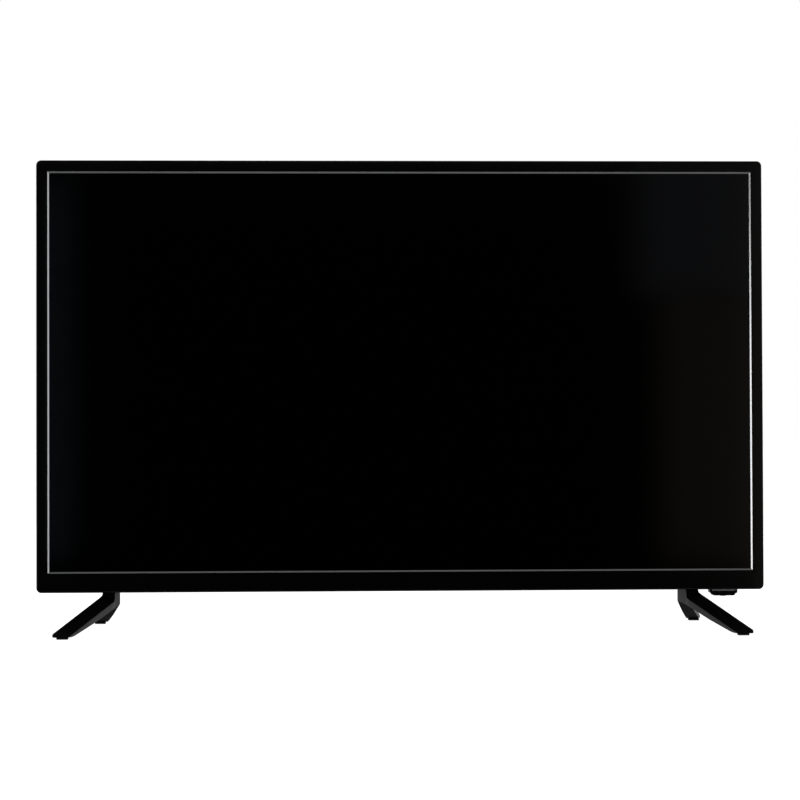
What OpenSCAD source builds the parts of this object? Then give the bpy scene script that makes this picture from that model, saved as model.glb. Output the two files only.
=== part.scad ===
// Flat screen television: a thin cabinet, deeper over its lower back, on two splayed feet.
// X runs to the viewer's right, Y to the back and Z up, and the screen faces -Y.
// The origin lies on the table, under the middle of the cabinet and midway between the toes.
// Depths named t are counted from the front face of the bezel towards the back.

/* [Screen] */
// Width of the picture
picture_w = 698; // [660:1:740]
// Height of the picture
picture_h = 392.6; // [370:0.2:430]
// Dark border of the glass left showing at each side
border_side = 1.2; // [0.8:0.1:3]
// Dark border of the glass left showing above and below
border_end = 1.9; // [0.8:0.1:3]

/* [Front bezel] */
// Width of the frame at each side, trim included
bezel_side = 12.8; // [12.4:0.1:18]
// Width of the frame along the top, trim included
bezel_top = 12.8; // [12.4:0.1:18]
// Width of the frame along the bottom, trim included
bezel_bottom = 20.8; // [20:0.1:28]
// Wall thickness of the frame
bezel_wall = 2.4; // [2.2:0.1:2.8]
// Depth of the frame from front to back
bezel_depth = 16; // [15:0.5:18]
// Radius of the cabinet's corners, seen from the front
corner_r = 5; // [3:0.5:10]
// Width and depth of the bright bevel round the picture
trim_w = 1.6; // [1.2:0.1:2.2]

/* [Panel] */
// How far the glass reaches past the opening
cell_lap = 6; // [5:0.1:6.2]
// Thickness of the glass cell
cell_t = 1.2; // [1:0.1:1.6]
// Thickness of the front polariser
polar_t = 0.2; // [0.1:0.05:0.3]
// Thickness of the foam gasket
gasket_t = 0.5; // [0.4:0.1:0.8]
// Thickness of the ledge that carries the glass
ledge_t = 1.2; // [1:0.1:1.6]
// Thickness of one optical film
film_t = 0.3; // [0.2:0.05:0.4]
// Thickness of the diffuser plate
plate_t = 1.5; // [1.2:0.1:2]
// Depth of the light box behind the diffuser plate
lightbox_t = 19.8; // [18:0.2:21]
// Thickness of the sheet steel
steel_t = 0.8; // [0.6:0.1:1]
// Rows of lamps
led_rows = 3; // [2:1:4]
// Lamps in a row
led_count = 7; // [5:1:8]
// Radius of a lamp's lens
lens_r = 7.5; // [6:0.1:9]

/* [Back] */
// Depth of the cabinet's thin upper part
thin_depth = 38; // [37:0.5:44]
// Depth of the cabinet over the electronics
belly_depth = 80; // [76:1:96]
// Distance of the deep lower back's sides from the cabinet's sides
belly_inset = 38; // [33:0.5:43]
// Height of the deep lower back
belly_h = 236; // [230:1:290]
// Height over which the deep part's top slopes away
belly_slope = 26; // [18:1:28]
// Bevel of the deep part's back edges
belly_bevel = 8; // [5:0.5:9]
// Wall thickness of the rear mouldings
cover_wall = 2.4; // [2:0.1:2.8]
// Taper of the thin part towards its back edge
panel_taper = 8; // [4:0.5:12]
// Width of the seat of the deep cover on the rear panel
panel_lap = 7; // [5:0.5:8]

/* [Wall mount] */
// Distance between the wall-mount holes across
vesa_w = 200; // [180:1:210]
// Distance between the wall-mount holes up and down
vesa_h = 100; // [80:1:104]
// Distance of the upper holes below the top of the deep lower back
vesa_drop = 36; // [34:1:40]
// Radius of a wall-mount hole
vesa_r = 2; // [1.6:0.1:3]
// Radius of a wall-mount standoff
standoff_r = 6; // [5:0.1:7]

/* [Electronics] */
// Height of the boards above the chassis
board_lift = 11; // [10.6:0.1:13]
// Thickness of a board
board_t = 1.6; // [1:0.1:2]
// Width of the main board
main_w = 165; // [155:1:168]
// Height of the main board
main_h = 122; // [118:1:130]
// Width of the power board
power_w = 140; // [120:1:150]
// Height of the power board
power_h = 110; // [100:1:125]
// Height of both boards' lower edge above the bottom of the cabinet
board_low = 84; // [80:1:90]
// Spacing of the sockets along the main board's edge
port_pitch = 19; // [18:0.5:19.5]
// Radius of an audio jack's bore
jack_r = 1.8; // [1.6:0.05:2]

/* [Speakers] */
// Width of a speaker box
speaker_w = 90; // [70:1:94]
// Depth of a speaker box
speaker_d = 40; // [38.5:0.5:42]
// Height of a speaker box
speaker_h = 46; // [36:1:48]
// Outer radius of a speaker's flange
driver_r = 19; // [18:0.1:19.2]
// Travel of a cone each way
cone_travel = 0.8; // [0.3:0.1:0.9]

/* [Key module] */
// Distance of the module from the side of the cabinet
module_inset = 40; // [34:0.5:44]
// Width of the module where it meets the bezel
module_w = 27.5; // [26:0.5:34]
// Width of the module at its lower edge
module_low_w = 22.5; // [17:0.5:24]
// How far the module hangs below the bezel
module_h = 6.3; // [5.9:0.1:8]
// Height of the pale window strip
window_h = 1.3; // [0.8:0.1:1.4]
// Radius of the power key
key_r = 3.5; // [2.5:0.1:3.7]
// Travel of the power key
key_travel = 0.5; // [0.3:0.05:0.6]

/* [Feet] */
// Height of the cabinet above the table
lift = 40; // [36:0.5:60]
// How far the bezel's face stands ahead of the middle of the feet
front_set = 24; // [20:0.5:28]
// Distance of each foot's neck from the side of the cabinet
foot_inset = 77.5; // [75:0.5:87]
// Thickness of the neck
neck_w = 12.5; // [11:0.5:14]
// Depth of the neck
neck_d = 55; // [50:0.5:56]
// Length of a foot from toe to toe
foot_d = 184; // [170:1:220]
// Width of a front toe
toe_w = 17; // [15:0.5:24]
// How far the front toe stands out from the neck
front_splay = 37.5; // [15:0.5:45]
// How far the rear toe stands out from the neck
rear_splay = 19; // [8:0.5:30]
// Height of a toe's tip
toe_h = 5; // [4.2:0.1:6]
// Thickness of a rubber pad
pad_h = 2; // [1:0.1:2.4]
// Width of a rubber pad
pad_w = 11; // [8:0.5:12]

/* [Hidden] */
$fn = 48;

// Overshoot of a cut past the face that it opens
over = 1;
// Bite of a shape into the one that it is joined to
bite = 0.1;
// Running clearance between pieces that pass through each other
gap = 0.2;

// Cabinet outline
opening_w = picture_w + 2 * border_side;
opening_h = picture_h + 2 * border_end;
cabinet_w = opening_w + 2 * bezel_side;
base = lift;
opening_z = [base + bezel_bottom, base + bezel_bottom + opening_h];
top = opening_z[1] + bezel_top;
front_y = -front_set;

// Depths of the panel's layers
t_cell = bezel_wall + gasket_t;
t_ledge = t_cell + cell_t;
t_films = t_ledge + ledge_t;
t_plate = t_films + 2 * film_t;
t_flange = t_plate + plate_t;
t_floor = t_flange + lightbox_t;
t_back = t_floor + steel_t;
bar_t = 1;
sheet_t = 0.5;
t_sheet = t_floor - bar_t - sheet_t;

// Laps of the panel's frames past the opening
gasket_lap = 3;
polar_lap = trim_w + 0.4;
ledge_lap = 1;
wall_lap = cell_lap + 0.6;
frame_lap = wall_lap + 2;
film_lap = 5;
mouth_lap = 2;
flange_lap = wall_lap - 0.4;
hook_t = 1;
hook_w = 24;
hook_lap = wall_lap + 1;
frame_back = bezel_depth - hook_t;
catch_w = 14;
catch_t = [t_flange + steel_t, t_flange + steel_t + 1.2];
lane_z = opening_z[0] - frame_lap - 0.5;

// Lamps and posts
led_pitch_x = opening_w / led_count;
led_pitch_z = opening_h / led_rows;
led_x = [for (i = [0 : led_count - 1]) (i - (led_count - 1) / 2) * led_pitch_x];
led_z = [for (i = [0 : led_rows - 1]) opening_z[0] + (i + 0.5) * led_pitch_z];
post_x = [for (i = [-2, 0, 2]) i * led_pitch_x];
post_z = [for (i = [0 : led_rows - 2]) opening_z[0] + (i + 1) * led_pitch_z];
post_r = 6;
post_gap = 0.3;
bar_w = 14;
lamp_w = 3;
lamp_t = 0.7;
backlight_x = 1.5 * led_pitch_x;

// Driver films and source board
film_w = 36;
driver_t = 0.2;
film_pitch = 120;
film_x = [for (i = [-1.5 : 1.5]) i * film_pitch];
source_w = 420;
source_h = 16;
source_t = 1.4;
source_z = [opening_z[0] - mouth_lap, opening_z[0] - mouth_lap + source_h];
ribbon_header = 6;
ribbon_w = 12;

// Posts and screws; a post's thread is a plain bore with a little slack
board_post_r = 3.5;
panel_post_r = 4;
well_post_r = 4.5;
board_screw_r = 1.2;
cover_screw_r = 1.5;
board_head_r = 2.9;
cover_head_r = 3.6;
panel_screw_l = 6;
well_screw_l = 10;
head_h = 2;
slack = 0.1;
pass = 0.4;
grommet_r = 4;
hole_inset = 5;

// Rear mouldings
t_panel = thin_depth - cover_wall;
boss_t = 2.5;
t_seat = t_panel - boss_t;
belly_half = cabinet_w / 2 - belly_inset;
belly_inner = belly_half - cover_wall;
belly_top = base + belly_h;
belly_angle = atan(belly_slope / (belly_depth - thin_depth));
floor_z = base + cover_wall;
bevel_in = belly_bevel - (2 - sqrt(2)) * cover_wall;
panel_screw_x = (belly_half + cabinet_w / 2) / 2;
panel_screws = [
    for (side = [-1, 1]) each [
        [side * (cabinet_w / 2 - 63), top - 24],
        [side * (cabinet_w / 2 - 63) / 3, top - 24],
        [side * panel_screw_x, base + 62],
        [side * panel_screw_x, base + 190],
        [side * panel_screw_x, base + 320]
    ]
];

// Vents over the boards and grilles under the speakers
vents = 24;
vent_pitch = 18;
vent_w = 4;
grille_pitch = 4.4;
grille_w = 2.2;

// Boards and sockets
board_edge = belly_inner - 4.6;
main_x = [-board_edge, -board_edge + main_w];
power_x = [board_edge - power_w, board_edge];
main_holes = [main_x[0] + 44, main_x[1]];
power_holes = [power_x[0], power_x[1] - 20];
main_z = [base + board_low, base + board_low + main_h];
power_z = [base + board_low, base + board_low + power_h];
t_board = t_back + board_lift;
header_h = 5;
t_top = t_board + board_t;
t_plug = t_top + header_h;
socket_x = -belly_inner + gap;
port_z = [for (i = [0 : 5]) main_z[0] + 13 + i * port_pitch];
aerial_t = t_top + 8;
jack_t = t_top + 5;
aerial_r = 6;
aerial_l = 12;
hdmi_w = 15;
hdmi_h = 5.8;
hdmi_l = 12;
usb_w = 14.4;
usb_h = 7;
usb_l = 14;
shell_end = 2.5;
tongue_in = 1.5;
jack_w = 11;
jack_l = 14;
plug_r = 4.5;
plate_in = 0.4;
io_z = [port_z[0] - 10, port_z[5] + 10];
io_t = [t_top - 0.6, t_top + 15.4];
inlet_z = power_z[0] + 62;
inlet_t = t_top + 9;
inlet_w = 24;
inlet_h = 12;
inlet_l = 16;
inlet_rim = 1.6;
inlet_end = belly_half - inlet_l + 3.5;
pin_z = 4.3;
header_w = 10;
header_d = 5;
lead_r = 1.2;
chip_t = 2;
chip_w = 8;
cpu_w = 26;
ram_x = 31;
ram_w = 10;
ram_h = 13;
ram_t = 1.2;
sink_at = [main_x[0] + 92, main_z[0] + 66];
sink_w = 40;
sink_t = 2.5;
sink_h = 12;
fin_t = 1.5;

// Wall-mount posts, and the wells that take the screws of the deep cover
vesa_l = 22;
standoff_foot = 1.5;
vesa_x = [-vesa_w / 2, vesa_w / 2];
vesa_z = [belly_top - vesa_drop - vesa_h, belly_top - vesa_drop];
well_r = 5;
well_wall = 2;
t_well = t_back + 18;
wells = [
    for (side = [-1, 1]) each [
        [-side * (main_x[1] + 15), vesa_z[1] - 5],
        [side * (vesa_w / 2 - 12), vesa_z[0] - 44]
    ]
];

// Wire headers on the boards, each a place across and a place up
ribbon_at = [main_x[1] - 14, main_z[0] + 6];
link_at = [main_x[1] - 8, main_z[0] + 58];
left_speaker_at = [main_x[0] + 60, main_z[0] + 6];
right_speaker_at = [main_x[0] + 90, main_z[0] + 6];
key_at = [main_x[1] - 36, main_z[0] + 6];
link_end_at = [power_x[0] + 8, main_z[0] + 58];
backlight_at = [power_x[0] + 18, power_z[0] + 8];
mains_at = [power_x[1] - 34, inlet_z];
headers = [
    ribbon_at, link_at, left_speaker_at, right_speaker_at, key_at, link_end_at, backlight_at, mains_at
];

// Speakers
foot_x = cabinet_w / 2 - foot_inset;
bracket_side = 6;
speaker_gap = 2;
speaker_x = foot_x - bracket_side - speaker_gap - speaker_w / 2;
flange_t = 1.5;
seat_t = 2.2 + cone_travel;
speaker_t = t_back + 3 + speaker_d / 2;
flange_z = floor_z + seat_t;
box_z = flange_z + flange_t;
box_wall = 2;
cone_r = driver_r - 6.6;
cone_low = 0.8;
rim_r = driver_r - 4;
basket_r = rim_r + 1.4;
basket_h = 14;
coil_r = 5.6;
coil_gap = 0.6;
pole_r = 4.8;

// Key module
module_x = cabinet_w / 2 - module_inset;
module_t = [3, 15];
module_mid = 9;
module_wall = 1.2;
module_low = base - module_h;
window_x = [-module_w / 2 + 2, module_w / 2 - 2];
window_z = [base - window_h - gap, base - gap];
collar = [-11.5, 11.5];
collar_t = [4, 14];
collar_z = base + bezel_wall + 1;
key_board_t = 1;
tact_z = base - 0.1;
plunger_r = 1.5;
plunger_in = 1.2;

// Feet
foot_y = foot_d / 2;
neck_y = [-15, -15 + neck_d];
arch_z = lift - 16;
neck_mid = foot_x + neck_w / 2;
pad_l = 7;
pad_in = 1.2;
tenon_in = 2;
tenon_x = [foot_x + tenon_in, foot_x + neck_w - tenon_in];
tenon_t = [bezel_depth + 2, front_set + neck_y[1] - 4];
bracket_t = 2;
bracket_plate = 2.5;
bracket_x = [foot_x - bracket_side, foot_x + neck_w + bracket_side];
bracket_h = 68;
foot_screw_t = [front_set, front_set + 28];
foot_screw_r = 2;
foot_head_r = 3.8;
foot_head_h = 2.5;
screw_past = 3;
head_z = arch_z + 8;

// A box between two places across, in depth and in height
module block(x, t, z)
    translate([x[0], front_y + t[0], z[0]])
        cube([x[1] - x[0], t[1] - t[0], z[1] - z[0]]);

// A box of a width and a height, centred on a place across and up
module tile(x, z, w, h, t)
    block([x - w / 2, x + w / 2], t, [z - h / 2, z + h / 2]);

// A round bar along Y
module bar_y(x, z, t, r)
    translate([x, front_y + t[1], z])
        rotate([90, 0, 0])
            cylinder(r = r, h = t[1] - t[0]);

// A round bar along X
module bar_x(x, t, z, r)
    translate([x[0], front_y + t, z])
        rotate([0, 90, 0])
            cylinder(r = r, h = x[1] - x[0]);

// A round bar along Z
module bar_z(x, t, z, r)
    translate([x, front_y + t, z[0]])
        cylinder(r = r, h = z[1] - z[0]);

// Outlines drawn across and up, in depth and up, or across and in depth, made solid
module along_y(t)
    translate([0, front_y + t[1], 0])
        rotate([90, 0, 0])
            linear_extrude(t[1] - t[0])
                children();

module along_x(x)
    translate([x[0], front_y, 0])
        rotate([90, 0, 90])
            linear_extrude(x[1] - x[0])
                children();

module along_z(z)
    translate([0, front_y, z[0]])
        linear_extrude(z[1] - z[0])
            children();

module both_sides() {
    children();
    mirror([1, 0, 0])
        children();
}

// A sheet that reaches past the opening by one lap, and a frame between two laps
module sheet(lap, t)
    block([-opening_w / 2 - lap, opening_w / 2 + lap], t, [opening_z[0] - lap, opening_z[1] + lap]);

module frame(lap_out, lap_in, t)
    difference() {
        sheet(lap_out, t);
        sheet(lap_in, [t[0] - over, t[1] + over]);
    }

function sheet_ring(lap, t) = [
    [-opening_w / 2 - lap, front_y + t, opening_z[0] - lap],
    [-opening_w / 2 - lap, front_y + t, opening_z[1] + lap],
    [opening_w / 2 + lap, front_y + t, opening_z[1] + lap],
    [opening_w / 2 + lap, front_y + t, opening_z[0] - lap]
];

function arc(x, z, r, from) = [
    for (i = [0 : 8]) [x + r * cos(from + i * 90 / 8), z + r * sin(from + i * 90 / 8)]
];

function rounded(w, z, r) = concat(
    arc(w / 2 - r, z[1] - r, r, 0),
    arc(-w / 2 + r, z[1] - r, r, 90),
    arc(-w / 2 + r, z[0] + r, r, 180),
    arc(w / 2 - r, z[0] + r, r, 270)
);

// A skin stretched over rings of points, one after the other
module loft(rings) {
    n = len(rings[0]);
    m = len(rings);
    polyhedron(
        points = [for (ring = rings) each ring],
        faces = [
            [for (j = [0 : n - 1]) j],
            [for (j = [n - 1 : -1 : 0]) (m - 1) * n + j],
            for (i = [0 : m - 2]) for (j = [0 : n - 1]) each [
                [i * n + j, (i + 1) * n + j, i * n + (j + 1) % n],
                [i * n + (j + 1) % n, (i + 1) * n + j, (i + 1) * n + (j + 1) % n]
            ]
        ]
    );
}

function at(x, t, z) = [x, front_y + t, z];
function unit(v) = v / norm(v);
function heading(points, i) = unit(points[min(i + 1, len(points) - 1)] - points[max(i - 1, 0)]);
function wire_ring(c, d, r) =
    let (u = unit(cross(d, [0.31, 0.17, 0.93])), v = cross(d, u))
    [for (a = [0 : 45 : 315]) c + r * (cos(a) * u + sin(a) * v)];

// A round wire along its points
module wire(points, r)
    loft([for (i = [0 : len(points) - 1]) wire_ring(points[i], heading(points, i), r)]);

// A flat band of a width across, along points in depth and height
module band(x, points, w, thick)
    loft([
        for (i = [0 : len(points) - 1])
            let (d = heading(points, i), n = [-d[1], d[0]] * thick / 2, p = points[i])
            [
                at(x - w / 2, p[0] - n[0], p[1] - n[1]),
                at(x + w / 2, p[0] - n[0], p[1] - n[1]),
                at(x + w / 2, p[0] + n[0], p[1] + n[1]),
                at(x - w / 2, p[0] + n[0], p[1] + n[1])
            ]
    ]);

// A pan-head screw along Y, its seat at t and its point towards the front
module screw_y(x, z, t, length, r, head_r, head_h) {
    bar_y(x, z, [t - length, t + bite], r);
    difference() {
        bar_y(x, z, [t, t + head_h], head_r);
        for (turn = [0, 90])
            translate([x, front_y + t + head_h, z])
                rotate([0, turn, 0])
                    cube([head_r * 1.1, head_h, head_r * 0.28], center = true);
    }
}

// Moulded front frame, open at the back, with hooks that hold the panel
module front_bezel()
    color([0.02, 0.02, 0.022]) {
        inner = cabinet_w / 2 - bezel_wall;
        hook_z = [opening_z[0] + opening_h * 0.25, opening_z[0] + opening_h * 0.75];
        difference() {
            along_y([0, bezel_depth])
                polygon(rounded(cabinet_w, [base, top], corner_r));
            along_y([bezel_wall, bezel_depth + over])
                polygon(rounded(
                    2 * inner,
                    [base + bezel_wall, top - bezel_wall],
                    max(corner_r - bezel_wall, 0.5)
                ));
            sheet(trim_w, [-over, bezel_depth]);
            block(
                [module_x + collar[0] - gap, module_x + collar[1] + gap],
                [collar_t[0] - gap, collar_t[1] + gap],
                [base - over, base + bezel_wall + over]
            );
        }
        for (x = [-240, 0, 240])
            block(
                [x - hook_w / 2, x + hook_w / 2],
                [frame_back, bezel_depth],
                [opening_z[1] + hook_lap, top - bezel_wall + bite]
            );
        for (x = [-270, -120, 120, 250])
            block(
                [x - hook_w / 2, x + hook_w / 2],
                [frame_back, bezel_depth],
                [base + bezel_wall - bite, opening_z[0] - hook_lap]
            );
        both_sides()
            for (z = hook_z)
                block(
                    [opening_w / 2 + hook_lap, inner + bite],
                    [frame_back, bezel_depth],
                    [z - hook_w / 2, z + hook_w / 2]
                );
    }

// Bright bevelled strip that frames the picture
module screen_trim()
    color([0.75, 0.76, 0.78])
        difference() {
            sheet(trim_w, [0, bezel_wall]);
            sheet(0, [-over, bezel_wall + over]);
            loft([sheet_ring(trim_w + over, -over), sheet_ring(-over, trim_w + over)]);
        }

module panel_gasket()
    color([0.12, 0.12, 0.12])
        frame(cell_lap, gasket_lap, [bezel_wall, t_cell]);

module front_polarizer()
    color([0.015, 0.015, 0.018])
        sheet(polar_lap, [t_cell - polar_t, t_cell]);

module lcd_cell()
    color([0.06, 0.07, 0.08])
        sheet(cell_lap, [t_cell, t_ledge]);

// Flexible films that carry the picture signals from the source board to the glass
module driver_films()
    color([0.62, 0.42, 0.16])
        for (x = film_x)
            band(x, [
                [t_cell + cell_t / 2, opening_z[0] - cell_lap],
                [t_cell + cell_t / 2, lane_z],
                [t_back + source_t + driver_t / 2, lane_z],
                [t_back + source_t + driver_t / 2, source_z[0] + 5]
            ], film_w, driver_t);

module source_board()
    color([0.1, 0.32, 0.16]) {
        block([-source_w / 2, source_w / 2], [t_back, t_back + source_t], source_z);
        tile(
            ribbon_at[0],
            source_z[1] - ribbon_header / 2,
            ribbon_w + 6,
            ribbon_header,
            [t_back + source_t, t_back + source_t + ribbon_header / 2]
        );
    }

// Plastic frame round the glass, with a ledge under it and hooks behind the chassis rim
module middle_frame()
    color([0.85, 0.85, 0.83]) {
        difference() {
            union() {
                frame(frame_lap, ledge_lap, [t_ledge, t_films]);
                frame(frame_lap, wall_lap, [t_cell, frame_back]);
            }
            for (x = film_x)
                block(
                    [x - film_w / 2 - 1, x + film_w / 2 + 1],
                    [t_cell - over, t_ledge],
                    [opening_z[0] - frame_lap - over, opening_z[0] - cell_lap + over]
                );
        }
        for (x = [-280, -90, 90, 280]) {
            block(
                [x - catch_w / 2, x + catch_w / 2],
                catch_t,
                [opening_z[1] + film_lap, opening_z[1] + wall_lap + bite]
            );
            block(
                [x - catch_w / 2, x + catch_w / 2],
                catch_t,
                [opening_z[0] - wall_lap - bite, opening_z[0] - film_lap]
            );
        }
        both_sides()
            for (z = [opening_z[0] + 90, opening_z[1] - 90])
                block(
                    [opening_w / 2 + film_lap, opening_w / 2 + wall_lap + bite],
                    catch_t,
                    [z - catch_w / 2, z + catch_w / 2]
                );
    }

module optical_films()
    color([0.93, 0.94, 0.95])
        for (i = [0, 1])
            sheet(film_lap, [t_films + i * film_t, t_films + (i + 1) * film_t]);

module diffuser_plate()
    color([0.95, 0.95, 0.94])
        sheet(film_lap, [t_plate, t_flange]);

// Cones that keep the diffuser plate from sagging into the light box
module plate_posts()
    color([0.92, 0.92, 0.92])
        for (x = post_x, z = post_z)
            translate([x, front_y + t_sheet, z])
                rotate([90, 0, 0])
                    cylinder(r1 = post_r, r2 = post_r / 4, h = t_sheet - t_flange - post_gap);

// White tray with sloping sides that throws the light forward
module reflector_sheet()
    color([0.97, 0.97, 0.97]) {
        slope_in = 22;
        lap_rim = mouth_lap - gap;
        lap_floor = lap_rim - slope_in;
        t_under = t_sheet + sheet_t;
        difference() {
            loft([sheet_ring(lap_rim, t_flange + gap), sheet_ring(lap_floor, t_under)]);
            loft([
                sheet_ring(lap_rim - sheet_t + over, t_flange + gap - over),
                sheet_ring(lap_floor - sheet_t, t_sheet)
            ]);
            for (x = led_x, z = led_z)
                bar_y(x, z, [t_sheet - over, t_under + over], lens_r + 1);
        }
    }

// Strips on the chassis floor with their lamp chips
module led_bars()
    color([0.9, 0.9, 0.88]) {
        half = led_x[led_count - 1] + lens_r + 8;
        t_lamp = t_floor - bar_t - lamp_t;
        for (z = led_z) {
            tile(0, z, 2 * half, bar_w, [t_floor - bar_t, t_floor]);
            for (x = led_x)
                tile(x, z, lamp_w, lamp_w, [t_lamp, t_floor - bar_t]);
        }
    }

module led_lenses()
    color([0.9, 0.93, 0.95]) {
        hollow_r = 3.5;
        hollow_h = 2.2;
        for (x = led_x, z = led_z)
            translate([x, front_y + t_floor - bar_t, z])
                rotate([90, 0, 0])
                    rotate_extrude()
                        polygon([
                            [hollow_r, 0], [lens_r, 0], [lens_r, 1.5], [lens_r * 0.8, 3.8],
                            [lens_r * 0.4, 5], [0, 4.2], [0, hollow_h], [hollow_r, hollow_h]
                        ]);
    }

// Pressed steel tray that carries the panel in front and the boards behind
module rear_chassis()
    color([0.7, 0.71, 0.72])
        difference() {
            union() {
                frame(flange_lap, mouth_lap, [t_flange, t_flange + steel_t]);
                frame(mouth_lap + steel_t, mouth_lap, [t_flange, t_back]);
                sheet(mouth_lap + steel_t, [t_floor, t_back]);
                for (p = board_bosses())
                    bar_y(p[0], p[1], [t_back - bite, t_board], board_post_r);
                for (p = panel_screws)
                    bar_y(p[0], p[1], [t_back - bite, t_seat], panel_post_r);
                for (p = wells)
                    bar_y(p[0], p[1], [t_back - bite, t_well], well_post_r);
            }
            for (p = board_bosses())
                bar_y(p[0], p[1], [t_back, t_board + over], board_screw_r + slack);
            for (p = panel_screws)
                bar_y(p[0], p[1], [t_back, t_seat + over], cover_screw_r + slack);
            for (p = wells)
                bar_y(p[0], p[1], [t_back, t_well + over], cover_screw_r + slack);
            bar_y(backlight_x, led_z[0], [t_floor - over, t_back + over], grommet_r);
            both_sides()
                for (z = bracket_screw_z())
                    bar_y(neck_mid, z, [t_floor - over, t_back + over], cover_screw_r + slack);
        }

function corners(x, z, inset) = [
    [x[0] + inset, z[0] + inset], [x[1] - inset, z[0] + inset],
    [x[0] + inset, z[1] - inset], [x[1] - inset, z[1] - inset]
];
function board_bosses() = concat(
    corners(main_holes, main_z, hole_inset),
    corners(power_holes, power_z, hole_inset)
);
function bracket_screw_z() = [floor_z + bracket_h - 8, floor_z + bracket_h - 28];

// Steel posts that bring the wall-mount threads out to the back face
module vesa_standoffs()
    color([0.74, 0.74, 0.76])
        for (x = vesa_x, z = vesa_z)
            difference() {
                union() {
                    bar_y(x, z, [t_back, t_back + standoff_foot], standoff_r + 4);
                    bar_y(x, z, [t_back + standoff_foot - bite, belly_depth], standoff_r);
                }
                bar_y(x, z, [belly_depth - vesa_l, belly_depth + over], vesa_r);
            }

module board(x, z, holes)
    difference() {
        block(x, [t_board, t_top], z);
        for (p = corners(holes, z, hole_inset))
            bar_y(p[0], p[1], [t_board - over, t_top + over], board_screw_r + pass);
    }

module main_board()
    color([0.06, 0.3, 0.16])
        board(main_x, main_z, main_holes);

module power_board()
    color([0.6, 0.46, 0.24])
        board(power_x, power_z, power_holes);

// Processor, memories and the supply's controller
module board_chips()
    color([0.05, 0.05, 0.055]) {
        tile(sink_at[0], sink_at[1], cpu_w, cpu_w, [t_top, t_top + chip_t]);
        for (dz = [-ram_h - 1, ram_h + 1])
            tile(sink_at[0] + ram_x, sink_at[1] + dz, ram_w, ram_h, [t_top, t_top + ram_t]);
        tile(power_x[0] + 60, power_z[0] + 18, chip_w, chip_w, [t_top, t_top + chip_t]);
    }

module chip_heatsink()
    color([0.62, 0.63, 0.65]) {
        t_sink = t_top + chip_t;
        fins = 8;
        pitch = (sink_w - fin_t) / (fins - 1);
        tile(sink_at[0], sink_at[1], sink_w, sink_w, [t_sink, t_sink + sink_t]);
        for (i = [0 : fins - 1])
            tile(
                sink_at[0] + (i - (fins - 1) / 2) * pitch,
                sink_at[1],
                fin_t,
                sink_w,
                [t_sink + sink_t - bite, t_sink + sink_h]
            );
    }

// Screened tuner behind the aerial socket
module tuner_can()
    color([0.78, 0.79, 0.8])
        block(
            [socket_x + aerial_l, socket_x + aerial_l + 32],
            [t_top, t_top + 15],
            [port_z[0] - 9.2, port_z[0] + 9.2]
        );

// A folded shell at a height z, open to the side and closed at its inner end
module socket_shell(z, w, h, depth, wall)
    difference() {
        block([socket_x, socket_x + depth], [t_top, t_top + h], [z - w / 2, z + w / 2]);
        block(
            [socket_x - over, socket_x + depth - shell_end],
            [t_top + wall, t_top + h - wall],
            [z - w / 2 + wall, z + w / 2 - wall]
        );
    }

// The tongue inside a shell, between two depths above the board
module socket_tongue(z, w, depth, t)
    block(
        [socket_x + tongue_in, socket_x + depth - shell_end + bite],
        [t_top + t[0], t_top + t[1]],
        [z - w / 2, z + w / 2]
    );

module hdmi_sockets()
    color([0.66, 0.66, 0.68])
        for (z = [port_z[4], port_z[5]]) {
            socket_shell(z, hdmi_w, hdmi_h, hdmi_l, 0.6);
            socket_tongue(z, 10, hdmi_l, [2.1, 3.6]);
        }

module usb_socket()
    color([0.66, 0.66, 0.68]) {
        socket_shell(port_z[3], usb_w, usb_h, usb_l, 0.8);
        socket_tongue(port_z[3], 11, usb_l, [0.7, 2.6]);
    }

module audio_jacks()
    color([0.1, 0.1, 0.1])
        for (z = [port_z[1], port_z[2]])
            difference() {
                block(
                    [socket_x, socket_x + jack_l],
                    [t_top, 2 * jack_t - t_top],
                    [z - jack_w / 2, z + jack_w / 2]
                );
                bar_x([socket_x - over, socket_x + jack_l + over], jack_t, z, jack_r);
            }

module aerial_socket()
    color([0.75, 0.73, 0.66]) {
        wall = 1.2;
        end = socket_x + aerial_l - 2;
        difference() {
            bar_x([socket_x, socket_x + aerial_l], aerial_t, port_z[0], aerial_r);
            bar_x([socket_x - over, end], aerial_t, port_z[0], aerial_r - wall);
        }
        bar_x([socket_x + 2, end + bite], aerial_t, port_z[0], wall);
    }

module transformer()
    color([0.2, 0.19, 0.16]) {
        x = power_x[0] + 38;
        z = power_z[0] + 56;
        base_t = t_top + 4;
        tile(x, z, 32, 36, [t_top, base_t]);
        tile(x, z, 28, 34, [base_t - bite, base_t + 18]);
        tile(x, z, 34, 16, [base_t + 4, base_t + 14]);
    }

module mains_capacitor()
    color([0.12, 0.12, 0.14])
        bar_y(power_x[0] + 78, power_z[0] + 84, [t_top, t_top + 30], 11);

module board_capacitors()
    color([0.13, 0.14, 0.2]) {
        for (i = [0 : 3])
            bar_y(power_x[0] + 64, power_z[0] + 34 + i * 13, [t_top, t_top + 16], 5);
        for (i = [0 : 3])
            bar_y(main_x[0] + 58 + i * 10, main_z[0] + 24, [t_top, t_top + 9], 3.2);
    }

module board_headers()
    color([0.93, 0.92, 0.88])
        for (p = headers)
            tile(p[0], p[1], header_w, header_d, [t_top, t_plug]);

module board_screws()
    color([0.72, 0.72, 0.7]) {
        for (p = board_bosses())
            screw_y(p[0], p[1], t_top, 8, board_screw_r, board_head_r, head_h);
        both_sides()
            for (z = bracket_screw_z())
                screw_y(
                    neck_mid,
                    z,
                    t_back + bracket_t,
                    bracket_t + steel_t + pass,
                    cover_screw_r,
                    board_head_r,
                    head_h
                );
    }

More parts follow.
